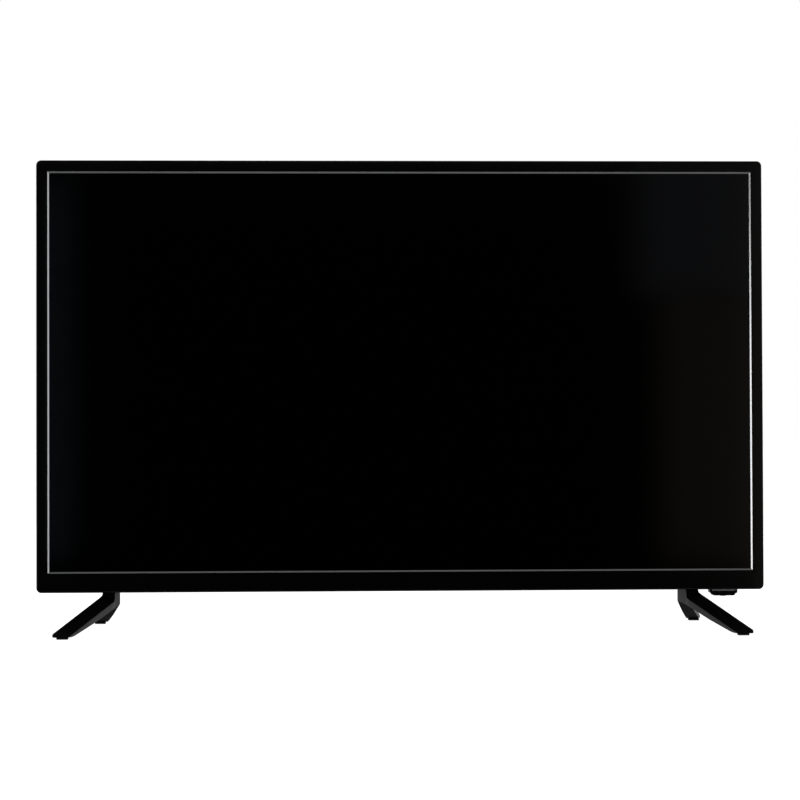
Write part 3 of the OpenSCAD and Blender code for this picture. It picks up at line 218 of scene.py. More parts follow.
def noise(start, scale, detail=3.0, rough=0.55):
    """Cloudy values from 0 to 1 with features of about 1 / scale metres."""
    return start.node(
        "ShaderNodeTexNoise",
        None,
        {"Vector": object_place(start), "Scale": scale, "Detail": detail, "Roughness": rough},
    )


def bumped(start, shader, height, strength, distance):
    """Gives the shader a fine relief from a height."""
    bump = start.node("ShaderNodeBump", None, {"Height": height, "Strength": strength, "Distance": distance})
    start.tree.links.new(bump.socket, shader.inputs["Normal"])


def wired(start, shader, **links):
    """Links or sets the shader's sockets, named with underscores for spaces."""
    for name, value in links.items():
        target = shader.inputs[name.replace("_", " ")]
        if isinstance(value, Wire):
            start.tree.links.new(value.socket, target)
        else:
            target.default_value = value


def shade(colour, factor):
    """A colour made lighter or darker."""
    return tuple(min(1.0, c * factor) for c in colour[:3]) + (1,)


def mould_finish(name, colour, rough=0.5, spread=0.12, grain=1800, bump=0.15, metal=0.0, coat=0.0, shine=0.5):
    """A moulded, cast or painted surface: slow drift of colour, fine grain in relief and gloss."""
    material, shader, start = new_material(name)
    slow = noise(start, 14, 4)
    fine = noise(start, grain, 2)
    tint = (slow * 0.65 + fine * 0.35).blend(shade(colour, 1 - spread), shade(colour, 1 + spread))
    wired(
        start, shader,
        Base_Color=tint,
        Roughness=slow * 0.08 + fine * 0.1 + (rough - 0.09),
        Metallic=metal,
        Coat_Weight=coat,
        Specular_IOR_Level=shine,
    )
    bumped(start, shader, fine, bump, 0.0002)
    return material


def dress(material, *names):
    """Gives CAD nodes whose shape is right their finish."""
    for name in names:
        mesh = nodes[name].data
        mesh.materials.clear()
        mesh.materials.append(material)


def spangle_finish(name, colour, rough):
    """Zinc-coated sheet: crystals of slightly different tone, faint rolling marks."""
    material, shader, start = new_material(name)
    cells = start.node("ShaderNodeTexVoronoi", None, {"Vector": object_place(start), "Scale": 260})
    tone = start.node("ShaderNodeSeparateColor", None, {0: cells.out("Color")}).out("Red")
    scuff = noise(start, 60, 5)
    wired(
        start, shader,
        Base_Color=(tone * 0.6 + scuff * 0.4).blend(shade(colour, 0.9), shade(colour, 1.06)),
        Roughness=tone * 0.12 + scuff * 0.14 + rough,
        Metallic=1.0,
    )
    bumped(start, shader, scuff, 0.1, 0.0002)
    return material


dress(spangle_finish("zinc_sheet", (0.62, 0.63, 0.64), 0.28), "rear_chassis", "foot_brackets")
dress(mould_finish("lamp_white", (0.82, 0.82, 0.8), 0.55, 0.05), "led_bars", "middle_frame", "plate_posts")
dress(mould_finish("lens_clear", (0.84, 0.88, 0.9), 0.12, 0.03, bump=0.03, coat=0.6), "led_lenses")
milky_sheet = mould_finish("milky_sheet", (0.9, 0.9, 0.9), 0.45, 0.02, bump=0.05)
dress(milky_sheet, "reflector_sheet", "diffuser_plate", "optical_films")


# Panel: two sheets of glass with a dark polariser bonded to the face, which has a fine anti-glare grain.
# The glass lies in a white frame on foam, and amber films carry the signals to it round the lower edge.
def screen_finish():
    """A near-black face whose grain softens what it mirrors."""
    material, shader, start = new_material("screen_face")
    haze = noise(start, 5, 3)
    grain = noise(start, 9000, 1)
    wired(
        start, shader,
        Base_Color=haze.blend((0.0001, 0.0001, 0.00012, 1), (0.0002, 0.0002, 0.0002, 1)),
        Roughness=haze * 0.04 + grain * 0.02 + 0.055,
        Specular_IOR_Level=0.6,
    )
    bumped(start, shader, grain, 0.05, 0.00005)
    return material


dress(screen_finish(), "front_polarizer")
dress(mould_finish("dark_glass", (0.012, 0.014, 0.016), 0.1, 0.2, bump=0.02, coat=0.5), "lcd_cell")
dress(mould_finish("amber_film", (0.5, 0.27, 0.06), 0.3, 0.15, bump=0.05), "driver_films")
dress(mould_finish("black_foam", (0.03, 0.03, 0.03), 0.9, 0.3, 900, 0.6), "panel_gasket", "speaker_gaskets")


# Front bezel: one injection moulding in gloss black, wider along the bottom, open at the back.
# Its outer edges are rounded, and its corners are turned on a small radius.
def outline(low, high, radius, depth):
    """A rounded rectangle of points across and up, at one depth, anticlockwise seen from the front."""
    steps = 8
    centres = (
        (high.x - radius, high.z - radius, 0),
        (low.x + radius, high.z - radius, 90),
        (low.x + radius, low.z + radius, 180),
        (high.x - radius, low.z + radius, 270),
    )
    ring = []
    for x, z, first in centres:
        for i in range(steps + 1):
            a = math.radians(first + 90 * i / steps)
            ring.append(Vector((x + radius * math.cos(a), depth, z + radius * math.sin(a))))
    return ring


def drawn_in(low, high, by):
    """Two corners moved towards each other, across and up."""
    return low + Vector((by, 0, by)), high - Vector((by, 0, by))


def lofted(name, rings, closed=False, capped=False):
    """A skin over rings of equally many points, closed on itself or with its two ends capped."""
    shell = bmesh.new()
    rows = [[shell.verts.new(p) for p in ring] for ring in rings]
    pairs = list(zip(rows, rows[1:] + rows[:1] if closed else rows[1:]))
    for first, second in pairs:
        count = len(first)
        for j in range(count):
            shell.faces.new((first[j], first[(j + 1) % count], second[(j + 1) % count], second[j]))
    if capped:
        shell.faces.new(rows[0])
        shell.faces.new(list(reversed(rows[-1])))
    bmesh.ops.recalc_face_normals(shell, faces=shell.faces)
    mesh = bpy.data.meshes.new(name)
    shell.to_mesh(mesh)
    shell.free()
    return mesh


def evaluated(thing, name):
    """The plain mesh that an object's modifiers make. The object itself is removed."""
    bpy.context.view_layer.update()
    mesh = bpy.data.meshes.new_from_object(thing.evaluated_get(bpy.context.evaluated_depsgraph_get()))
    mesh.name = name
    bpy.data.objects.remove(thing)
    return mesh


def smooth_shaded(mesh, degrees=35):
    """Smooth across soft edges, sharp across hard ones, and flat over large faces."""
    mesh.shade_smooth()
    mesh.set_sharp_from_angle(angle=math.radians(degrees))
    thing = new_piece(mesh.name + "_draft", mesh)
    weighted = thing.modifiers.new("weighted", "WEIGHTED_NORMAL")
    weighted.keep_sharp = True
    return evaluated(thing, mesh.name)


def fitted(name, mesh, material, slot, body, *stands_for):
    """A finished piece on its body, hiding the CAD nodes that it stands for. Its slot is not used."""
    thing = new_piece(name, mesh, material)
    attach(thing, body)
    if stands_for:
        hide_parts(*stands_for)


def gloss_finish():
    """Polished black plastic with faint wipe marks and dust."""
    material, shader, start = new_material("gloss_black")
    wipe = noise(start, 22, 5, 0.6)
    dust = noise(start, 1400, 2)
    wired(
        start, shader,
        Base_Color=wipe.blend((0.006, 0.0058, 0.0056, 1), (0.0105, 0.0102, 0.0098, 1)),
        Roughness=wipe * 0.06 + dust * 0.05 + 0.1,
        Coat_Weight=wipe * 0.1 + 0.15,
        Specular_IOR_Level=0.3,
    )
    bumped(start, shader, noise(start, 260, 1), 0.02, 0.0003)
    return material


bezel_low, bezel_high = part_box("front_bezel")
trim_low, trim_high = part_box("screen_trim")
face_y, back_y = bezel_low.y, bezel_high.y
corner, edge, wall, lip = 5 * MM, 1.4 * MM, 2.4 * MM, 0.35 * MM
edge_steps, lip_steps = 5, 3
rings = [outline(bezel_low, bezel_high, corner, back_y)]
for i in range(edge_steps + 1):
    a = math.radians(90 * i / edge_steps)
    inset, depth = edge * (1 - math.cos(a)), face_y + edge * (1 - math.sin(a))
    rings.append(outline(*drawn_in(bezel_low, bezel_high, inset), corner - inset, depth))
for i in range(lip_steps + 1):
    a = math.radians(90 * i / lip_steps)
    outset, depth = lip * (1 - math.sin(a)), face_y + lip * (1 - math.cos(a))
    rings.append(outline(*drawn_in(trim_low, trim_high, -outset), lip + outset, depth))
rings.append(outline(trim_low, trim_high, lip, face_y + wall))
inner = drawn_in(bezel_low, bezel_high, wall)
rings.append(outline(*inner, corner - wall, face_y + wall))
rings.append(outline(*inner, corner - wall, back_y))
bezel = smooth_shaded(lofted("front_bezel_shell", rings, closed=True))
gloss_black = gloss_finish()
fitted("front_bezel_shell", bezel, gloss_black, "bezel", "cabinet", "front_bezel")


# Trim: a bright bevelled strip pressed into the bezel, mitred at its corners.
# It is bare drawn aluminium, with fine lines along each run.
def drawn_metal_finish():
    """Bare metal with fine lines from drawing."""
    material, shader, start = new_material("bright_strip")
    drawn = start.node("ShaderNodeMapping", None, {"Vector": object_place(start), "Scale": (40, 2500, 40)})
    lines = start.node("ShaderNodeTexNoise", None, {"Vector": drawn, "Scale": 1.0, "Detail": 3.0})
    slow = noise(start, 9, 3)
    wired(
        start, shader,
        Base_Color=(lines * 0.5 + slow * 0.5).blend((0.70, 0.71, 0.73, 1), (0.86, 0.87, 0.88, 1)),
        Roughness=lines * 0.1 + slow * 0.06 + 0.2,
        Metallic=1.0,
    )
    bumped(start, shader, lines, 0.06, 0.0001)
    return material


trim_section = ((0, 0), (0.15, 0), (0.25, 0.05), (1.5, 1.35), (1.6, 1.6), (1.6, 2.4), (0, 2.4))
least_corner = 0.05 * MM
rings = []
for inset, depth in trim_section:
    radius = max(lip - inset * MM, least_corner)
    rings.append(outline(*drawn_in(trim_low, trim_high, inset * MM), radius, face_y + depth * MM))
strip = smooth_shaded(lofted("screen_trim_strip", rings, closed=True), 30)
fitted("screen_trim_strip", strip, drawn_metal_finish(), "trim", "cabinet", "screen_trim")


# Boards: a green main board with its sockets and chips, and a tan power board, on posts of the tray.
# Copper runs show through the lacquer in bundles, with tinned pads between them.
# The parts are soldered on, and leads in plastic headers join the boards.
def circuit_finish(name, base, run):
    """A lacquered board: fields of copper runs that go across or up, and round tinned pads."""
    material, shader, start = new_material(name)
    fields_per_metre, runs_per_metre, pads_per_metre = 75, 480, 260
    place = start.node("ShaderNodeSeparateXYZ", None, {0: object_place(start)})
    rise = place.out("Y") + place.out("Z")
    flat = start.node("ShaderNodeCombineXYZ", None, {"X": place.out("X"), "Y": rise})
    fields = start.node(
        "ShaderNodeTexVoronoi",
        {"voronoi_dimensions": "2D", "distance": "CHEBYCHEV"},
        {"Vector": flat, "Scale": fields_per_metre},
    )
    chance = start.node("ShaderNodeSeparateColor", None, {0: fields.out("Color")})
    turned = start.math("GREATER_THAN", chance.out("Red"), 0.5)
    stripe = start.math("FRACT", (turned * place.out("X") + (1 - turned) * rise) * runs_per_metre)
    runs = start.math("LESS_THAN", stripe, 0.45) * start.math("GREATER_THAN", chance.out("Green"), 0.4)
    dots = start.node("ShaderNodeTexVoronoi", None, {"Vector": object_place(start), "Scale": pads_per_metre})
    pads = start.math("LESS_THAN", dots.out("Distance"), 0.17)
    cloud = noise(start, 40, 3)
    lacquer = (runs * 0.75 + cloud * 0.25).blend((*base, 1), (*run, 1))
    wired(
        start, shader,
        Base_Color=pads.blend(lacquer, (0.6, 0.58, 0.54, 1)),
        Roughness=cloud * 0.15 + 0.3 - pads * 0.1,
        Metallic=pads * 0.9,
    )
    bumped(start, shader, runs * 0.5 + pads, 0.2, 0.0001)
    return material


def softened(node, width, segments=2, shortest=0.0):
    """A copy of a CAD node with its hard edges rounded, apart from those shorter than a length."""
    same_point, same_plane, hard_angle = 1e-6, math.radians(0.6), math.radians(40)
    mesh = nodes[node].data.copy()
    mesh.materials.clear()
    work = bmesh.new()
    work.from_mesh(mesh)
    bmesh.ops.remove_doubles(work, verts=work.verts, dist=same_point)
    bmesh.ops.dissolve_limit(
        work, angle_limit=same_plane, verts=work.verts, edges=work.edges, use_dissolve_boundaries=False
    )
    rounded = work.edges.layers.float.new("bevel_weight_edge")
    for line in work.edges:
        line[rounded] = float(line.calc_face_angle(0) > hard_angle and line.calc_length() >= shortest)
    work.to_mesh(mesh)
    work.free()
    mesh.name = node + "_soft"
    thing = new_piece(node + "_draft", mesh)
    bevel = thing.modifiers.new("rounding", "BEVEL")
    bevel.width = width
    bevel.segments = segments
    bevel.limit_method = "WEIGHT"
    return smooth_shaded(evaluated(thing, node + "_soft"))


green_lacquer = circuit_finish("green_lacquer", (0.01, 0.09, 0.035), (0.04, 0.22, 0.1))
dress(green_lacquer, "main_board", "source_board", "key_board")
dress(circuit_finish("tan_laminate", (0.33, 0.21, 0.08), (0.42, 0.29, 0.13)), "power_board")
parts_black = mould_finish("component_black", (0.018, 0.018, 0.02), 0.5, 0.25)
dress(parts_black, "ir_receiver", "tact_switch")
for name, node, rounding in (
    ("chip_bodies", "board_chips", 0.3),
    ("wound_transformer", "transformer", 0.8),
    ("smoothing_capacitor", "mains_capacitor", 1.5),
    ("small_capacitors", "board_capacitors", 0.8),
):
    fitted(name, softened(node, rounding * MM, 3), parts_black, "component_black", "cabinet", node)
dress(mould_finish("finned_aluminium", (0.5, 0.51, 0.53), 0.35, 0.1, 700, 0.1, metal=1.0), "chip_heatsink")
ivory_nylon = mould_finish("ivory_nylon", (0.8, 0.76, 0.64), 0.5, 0.06)
headers = softened("board_headers", 0.25 * MM)
fitted("lead_headers", headers, ivory_nylon, "header_ivory", "cabinet", "board_headers")
dress(mould_finish("pale_insulation", (0.62, 0.62, 0.6), 0.55, 0.06), "panel_ribbon", "key_lead")
dress(mould_finish("dark_insulation", (0.025, 0.025, 0.025), 0.5, 0.2), "power_leads", "speaker_leads")
dress(mould_finish("yellow_insulation", (0.6, 0.42, 0.03), 0.5, 0.08), "backlight_lead")
bright_steel = mould_finish("bright_steel", (0.6, 0.6, 0.61), 0.3, 0.1, 1500, 0.05, metal=1.0)
dress(bright_steel, "board_screws", "vesa_standoffs", "inlet_pins")
tinned = mould_finish("tinned_shell", (0.62, 0.62, 0.63), 0.26, 0.06, 900, 0.02, metal=1.0)
dress(tinned, "hdmi_sockets", "usb_socket", "aerial_socket")
fitted("tuner_shell", softened("tuner_can", 0.8 * MM, 3), tinned, "socket_metal", "cabinet", "tuner_can")
socket_black = mould_finish("socket_black", (0.012, 0.012, 0.012), 0.38, 0.25)
dress(socket_black, "audio_jacks")


# Speakers: paper cones on rubber rolls in steel frames, each on a closed box above its grille.
# A magnet drives each cone, which moves by less than a millimetre.
speaker_boxes = softened("speaker_boxes", 2 * MM, 4, 12 * MM)
fitted("speaker_box_pair", speaker_boxes, parts_black, "component_black", "cabinet", "speaker_boxes")
coated_steel = mould_finish("coated_steel", (0.03, 0.03, 0.032), 0.45, 0.2, metal=0.4)
dress(coated_steel, "speaker_frames", "speaker_magnets")
dress(mould_finish("pressed_paper", (0.02, 0.02, 0.02), 0.85, 0.35, 700, 0.5), "left_cone", "right_cone")
dress(mould_finish("rolled_rubber", (0.016, 0.016, 0.016), 0.6, 0.2), "left_surround", "right_surround")


# Key tab: a dark clear moulding that hangs under the bezel, with a pale light strip along its top.
# The receiver sits behind its face, and the round key under it is pressed upwards.
smoked = mould_finish("smoked_plastic", (0.006, 0.005, 0.006), 0.14, 0.3, 600, 0.03, coat=0.5)
fitted("key_tab", softened("ir_housing", 0.35 * MM), smoked, "tab_plastic", "cabinet", "ir_housing")
fitted("key_cap", softened("power_key", 0.3 * MM), smoked, "tab_plastic", "power_key", "power_key")
dress(mould_finish("pale_strip", (0.8, 0.8, 0.82), 0.35, 0.06), "ir_window")


# Rear panel: the thin upper back, moulded in black plastic with a fine spark-eroded grain.
# It tapers towards its edges and is held by screws in round recesses.
def eroded_finish(name, colour, rough):
    """Plastic with the small pits of a spark-eroded mould."""
    material, shader, start = new_material(name)
    cells = start.node("ShaderNodeTexVoronoi", None, {"Vector": object_place(start), "Scale": 1500})
    pits = cells.out("Distance")
    grain = noise(start, 2600, 2)
    slow = noise(start, 6, 4)
    wired(
        start, shader,
        Base_Color=(slow * 0.5 + grain * 0.5).blend(shade(colour, 0.75), shade(colour, 1.35)),
        Roughness=pits * 0.15 + slow * 0.1 + rough,
    )
    bumped(start, shader, pits * 0.7 + grain * 0.3, 0.35, 0.0002)
    return material


def eased(path, reach, closed=False, steps=5):
    """A path of flat points with each corner replaced by a curve that starts a reach away from it."""
    soft, count = [], len(path)
    for i, here in enumerate(Vector(p) for p in path):
        if not closed and i in (0, count - 1):
            soft.append(here)
            continue
        back, onward = Vector(path[i - 1]) - here, Vector(path[(i + 1) % count]) - here
        near = min(reach, 0.45 * back.length, 0.45 * onward.length)
        first, last = here + back.normalized() * near, here + onward.normalized() * near
        for j in range(steps + 1):
            s = j / steps
            soft.append(first * (1 - s) ** 2 + here * (2 * s * (1 - s)) + last * s * s)
    return soft


def boxed(name, low, high):
    """A box between two corners, as a tool for cutting or joining."""
    mesh = bpy.data.meshes.new(name)
    work = bmesh.new()
    bmesh.ops.create_cube(work, size=1.0)
    low, high = Vector(low), Vector(high)
    for v in work.verts:
        v.co = (low + high) / 2 + v.co * (high - low)
    work.to_mesh(mesh)
    work.free()
    return mesh


def worked(mesh, operation, *tools):
    """The mesh with the tools' shapes taken out of it or joined to it."""
    thing = new_piece(mesh.name + "_blank", mesh)
    helpers = [new_piece(tool.name + "_tool", tool) for tool in tools]
    for helper in helpers:
        step = thing.modifiers.new("work", "BOOLEAN")
        step.operation, step.solver, step.object = operation, "EXACT", helper
    result = evaluated(thing, mesh.name)
    for helper in helpers:
        bpy.data.objects.remove(helper)
    return result


def grown(name, places, build, material, turn=(0, 0, 0), **sizes):
    """A mesh made by a node tree on points: build() wires one shape from the tree's named sizes."""
    tree = bpy.data.node_groups.new(name, "GeometryNodeTree")
    tree.interface.new_socket("Places", in_out="INPUT", socket_type="NodeSocketGeometry")
    tree.interface.new_socket("Made", in_out="OUTPUT", socket_type="NodeSocketGeometry")
    sockets = {
        size: tree.interface.new_socket(size, in_out="INPUT", socket_type="NodeSocketFloat") for size in sizes
    }
    entry = tree.nodes.new("NodeGroupInput")
    points = Wire(tree, entry.outputs["Places"])
    shape = build(**{size: Wire(tree, entry.outputs[size]) for size in sizes})
    spread = points.node(
        "GeometryNodeInstanceOnPoints", None, {"Points": points, "Instance": shape, "Rotation": turn}
    )
    whole = points.node("GeometryNodeRealizeInstances", None, {0: spread})
    painted = points.node("GeometryNodeSetMaterial", None, {"Geometry": whole, "Material": material})
    points.node("NodeGroupOutput", None, {"Made": painted})
    seed = bpy.data.meshes.new(name + "_places")
    seed.from_pydata([tuple(p) for p in places], [], [])
    thing = new_piece(name + "_places", seed)
    modifier = thing.modifiers.new(name, "NODES")
    modifier.node_group = tree
    for size, socket in sockets.items():
        modifier[socket.identifier] = sizes[size]
    return evaluated(thing, name)


def round_bar(radius, length, base=0.0, top=None):
    """A bar along Z, or a cone where its top has another radius, from a height of its own."""
    bar = radius.node(
        "GeometryNodeMeshCone", None,
        {"Vertices": 32, "Radius Bottom": radius, "Radius Top": top or radius, "Depth": length},
    )
    lifted = radius.node("ShaderNodeCombineXYZ", None, {"Z": base})
    return radius.node("GeometryNodeTransform", None, {"Geometry": bar, "Translation": lifted})


TO_BACK = (math.radians(-90), 0, 0)
cover_plastic = eroded_finish("cover_plastic", (0.016, 0.016, 0.017), 0.42)
panel_low, panel_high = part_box("rear_panel")
belly_low, belly_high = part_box("belly_cover")
belly_low.y = panel_high.y
panel_taper, flat_back, seat = 8 * MM, 20 * MM, 7 * MM
panel_side, panel_row = panel_high.x - 63 * MM, panel_high.z - 24 * MM
rail, rail_rows = (belly_high.x + panel_high.x) / 2, (62, 190, 320)
panel_screws = [
    Vector((side * x, panel_high.y - wall, z))
    for side in (-1, 1)
    for x, z in (
        (panel_side, panel_row),
        (panel_side / 3, panel_row),
        *((rail, panel_low.z + up * MM) for up in rail_rows),
    )
]


def panel_ring(inset, depth, thick):
    """A ring of the outer or the inner side. The bottom is upright, so its inset starts past the taper."""
    base = thick + max(0, inset - thick - panel_taper)
    low, high = panel_low + Vector((inset, 0, base)), panel_high - Vector((inset, 0, inset))
    return outline(low, high, corner, depth)


groove, groove_w, groove_t = 12 * MM, 1.8 * MM, 0.7 * MM
outside = eased([(0, panel_low.y), (panel_taper, panel_high.y), (groove, panel_high.y)], 2 * MM)
outside += eased(
    [
        (groove, panel_high.y),
        (groove + groove_t / 2, panel_high.y - groove_t),
        (groove + groove_w - groove_t / 2, panel_high.y - groove_t),
        (groove + groove_w, panel_high.y),
        (flat_back, panel_high.y),
    ],
    0.3 * MM, steps=2,
)[1:]
inside = [(wall, panel_low.y), (panel_taper + wall, panel_high.y - wall), (flat_back, panel_high.y - wall)]
rings = [panel_ring(inset, depth, 0) for inset, depth in reversed(outside)]
rings += [panel_ring(inset, depth, wall) for inset, depth in inside]
panel = lofted("rear_panel_shell", rings, capped=True)
panel_window = boxed(
    "panel_window",
    (belly_low.x + seat, panel_low.y - seat, panel_low.z - seat),
    (belly_high.x - seat, panel_high.y + seat, belly_high.z - seat),
)
panel_sill = boxed(
    "panel_sill",
    (belly_low.x, panel_low.y - seat, panel_low.z - seat),
    (belly_high.x, panel_high.y + seat, panel_low.z + wall),
)
recesses = grown(
    "panel_recesses", panel_screws, round_bar, cover_plastic, TO_BACK, radius=4.2 * MM, length=6 * MM
)
panel = worked(panel, "DIFFERENCE", panel_window, panel_sill, recesses)
fitted("rear_panel_shell", smooth_shaded(panel), cover_plastic, "cover_plastic", "cabinet", "rear_panel")


# Deep cover: the lower back over the boards, in the same plastic as the rear panel.
# Its top slopes away with upright vent slots, its floor has the speaker grilles, and screws sit in wells.
# Two ribbed fields and a shallow seat for a label lie on its back, beside the wall-mount holes.
belly_bevel, belly_fall, flank = 8 * MM, 26 * MM, 6 * MM
fall = belly_fall / (belly_high.y - belly_low.y)


def belly_ring(side, top, radius):
    """A ring whose sides and floor follow one path of inset and depth, and whose top follows another."""
    low = Vector((belly_low.x + side.x, 0, belly_low.z + side.x))
    high = Vector((belly_high.x - side.x, 0, belly_high.z - top.x))
    ring = outline(low, high, radius, side.y)
    for p in ring[: len(ring) // 2]:
        p.y = top.y
    return ring


def belly_paths(thick):
    """The paths of the sides and of the sloping top, drawn in by a thickness."""
    front, back = belly_low.y, belly_high.y - thick
    bevel = belly_bevel - (2 - math.sqrt(2)) * thick
    drop = thick * math.hypot(1, fall)
    flat = flat_back + thick
    sides = [(thick, front), (thick, back - bevel), (thick + bevel, back), (flat, back)]
    slope = [(drop + fall * (depth - front), depth) for depth in (front, back - bevel, back)]
    slope.append((slope[-1][0] + flat_back, back))
    reach = 3 * MM
    return list(zip(eased(sides, reach), eased(slope, reach)))


rings = [belly_ring(*pair, flank) for pair in reversed(belly_paths(0))]
rings += [belly_ring(*pair, flank - wall) for pair in belly_paths(wall)]
cover = lofted("deep_cover", rings, capped=True)
cover_sill = boxed(
    "cover_sill",
    (belly_low.x, panel_low.y, belly_low.z),
    (belly_high.x, belly_low.y + 2 * MM, belly_low.z + wall),
)
well_floor, well_seat = face_y + 46 * MM, face_y + 48 * MM
wells = [(side * x * MM, z * MM) for side in (-1, 1) for x, z in ((138, 235), (88, 96))]
wall_holes = [(side * 100 * MM, z * MM) for side in (-1, 1) for z in (140, 240)]
vent_w, vent_h, vent_pitch, vents = 4 * MM, 17 * MM, 18 * MM, 24
grille_w, grille_l, grille_pitch = 2.2 * MM, 12 * MM, 4.4 * MM


def slot_bar(width, height, length):
    """A bar along Z with a slot's round-ended section, its height along Y."""
    section = width.node("GeometryNodeCurvePrimitiveQuadrilateral", None, {"Width": width, "Height": height})
    section = width.node(
        "GeometryNodeFilletCurve", {"mode": "POLY"}, {"Curve": section, "Count": 5, "Radius": width * 0.49}
    )
    end = width.node("ShaderNodeCombineXYZ", None, {"Z": length})
    path = width.node("GeometryNodeCurvePrimitiveLine", None, {"End": end})
    return width.node(
        "GeometryNodeCurveToMesh", None, {"Curve": path, "Profile Curve": section, "Fill Caps": True}
    )


vent_y, vent_z = belly_low.y + 7 * MM, belly_high.z - 12.5 * MM
vent_cuts = grown(
    "vent_cuts", [((i - (vents - 1) / 2) * vent_pitch, vent_y, vent_z) for i in range(vents)],
    slot_bar, cover_plastic, TO_BACK, width=vent_w, height=vent_h, length=40 * MM,
)
grille_row = 8 * MM
grille_places = []
for cone_node in ("left_cone", "right_cone"):
    cone_low, cone_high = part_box(cone_node)
    middle = (cone_low + cone_high) / 2
    grille_places += [
        (middle.x + i * grille_pitch, middle.y + row * grille_row, belly_low.z - wall)
        for i in range(-4, 5)
        for row in (-1, 1)
    ]
grille_cuts = grown(
    "grille_cuts", grille_places, slot_bar, cover_plastic, width=grille_w, height=grille_l, length=3 * wall
)
tubes = grown(
    "well_tubes", [(x, well_floor, z) for x, z in wells], round_bar, cover_plastic, TO_BACK,
    radius=7 * MM, length=belly_high.y - well_floor - wall / 2,
)
bores = grown(
    "well_bores", [(x, well_seat, z) for x, z in wells], round_bar, cover_plastic, TO_BACK,
    radius=5 * MM, length=40 * MM,
)
passages = grown(
    "well_passages", [(x, well_floor - 2 * MM, z) for x, z in wells], round_bar, cover_plastic, TO_BACK,
    radius=1.9 * MM, length=8 * MM,
)
mount_cuts = grown(
    "mount_cuts", [(x, belly_high.y - 3 * wall, z) for x, z in wall_holes], round_bar, cover_plastic, TO_BACK,
    radius=6.2 * MM, length=5 * wall,
)
TO_BACK_LYING = (math.radians(-90), math.radians(90), 0)
rib_w, rib_l, rib_pitch, ribs, relief = 1.6 * MM, 130 * MM, 9 * MM, 16, 0.6 * MM
rib_x, lowest_rib = 235 * MM, 78 * MM
rib_cuts = grown(
    "rib_cuts",
    [
        (side * rib_x, belly_high.y - relief, lowest_rib + i * rib_pitch)
        for side in (-1, 1)
        for i in range(ribs)
    ],
    slot_bar, cover_plastic, TO_BACK_LYING, width=rib_w, height=rib_l, length=wall,
)
label_half, label_low, label_high = 55 * MM, 165 * MM, 215 * MM
label_seat = boxed(
    "label_seat",
    (-label_half, belly_high.y - relief, label_low),
    (label_half, belly_high.y + wall, label_high),
)
plate_low, plate_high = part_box("io_plate")
plate_room = Vector((wall, 0.1 * MM, 0.1 * MM))
socket_window = boxed("socket_window", plate_low - plate_room, plate_high + plate_room)
inlet_low, inlet_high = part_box("mains_inlet")
inlet_mid = (inlet_low + inlet_high) / 2
inlet_half_y, inlet_half_z = 6.2 * MM, 12.2 * MM
inlet_cut = boxed(
    "inlet_cut",
    (belly_high.x - 2 * wall, inlet_mid.y - inlet_half_y, inlet_mid.z - inlet_half_z),
    (belly_high.x + wall, inlet_mid.y + inlet_half_y, inlet_mid.z + inlet_half_z),
)
tenon_x, tenon_y, tenon_room = (287.5 * MM, 296 * MM), (-6 * MM, 36 * MM), 0.2 * MM
slots = [
    boxed(
        "tenon_slot",
        (min(side * x for x in tenon_x) - tenon_room, tenon_y[0] - tenon_room, belly_low.z - wall),
        (max(side * x for x in tenon_x) + tenon_room, tenon_y[1] + tenon_room, belly_low.z + 2 * wall),
    )
    for side in (-1, 1)
]
cover = worked(cover, "UNION", cover_sill, tubes)
cover = worked(
    cover, "DIFFERENCE", vent_cuts, grille_cuts, bores, passages, mount_cuts, rib_cuts, label_seat,
    socket_window, inlet_cut, *slots
)
fitted("deep_cover", smooth_shaded(cover), cover_plastic, "cover_plastic", "cabinet", "belly_cover")


# Cover screws: blackened pan-head screws with a cross recess, which hold the back to the tray.
# They sit sunk in the rear panel's round recesses and on the floors of the deep cover's wells.
def cross_screw(head, height, shank, length):
    """A screw that points down Z with its head's seat at its own origin."""
    rim = round_bar(head, height * 0.6)
    crown = round_bar(head, height * 0.45, height * 0.55, head * 0.7)
    stem = round_bar(shank, length + height * 0.3, 0.0 - length)
    body = head.node(
        "GeometryNodeMeshBoolean", {"operation": "UNION", "solver": "EXACT"}, {"Mesh 2": rim}
    )
    for part in (crown, stem):
        head.tree.links.new(part.socket, body.socket.node.inputs["Mesh 2"])
    arms = []
    for turn in (0, 90):
        size = head.node("ShaderNodeCombineXYZ", None, {"X": head * 1.15, "Y": head * 0.26, "Z": height})
        arm = head.node("GeometryNodeMeshCube", None, {"Size": size})
        lift = head.node("ShaderNodeCombineXYZ", None, {"Z": height * 0.95})
        arms.append(head.node(
            "GeometryNodeTransform", None,
            {"Geometry": arm, "Translation": lift, "Rotation": (0, 0, math.radians(turn))},
        ))
    recessed = head.node(
        "GeometryNodeMeshBoolean", {"operation": "DIFFERENCE", "solver": "EXACT"},
        {"Mesh 1": body, "Mesh 2": arms[0]},
    )
    head.tree.links.new(arms[1].socket, recessed.socket.node.inputs["Mesh 2"])
    return recessed


black_steel = mould_finish("black_steel", (0.045, 0.045, 0.05), 0.32, 0.25, 1500, 0.12, metal=0.9)
screw_places = panel_screws + [Vector((x, well_seat, z)) for x, z in wells]
cover_set = grown(
    "cover_screw_set", screw_places, cross_screw, black_steel, TO_BACK,
    head=3.6 * MM, height=2 * MM, shank=1.5 * MM, length=6 * MM,
)
fitted("cover_screw_set", smooth_shaded(cover_set), black_steel, "screw_black", "cabinet", "cover_screws")


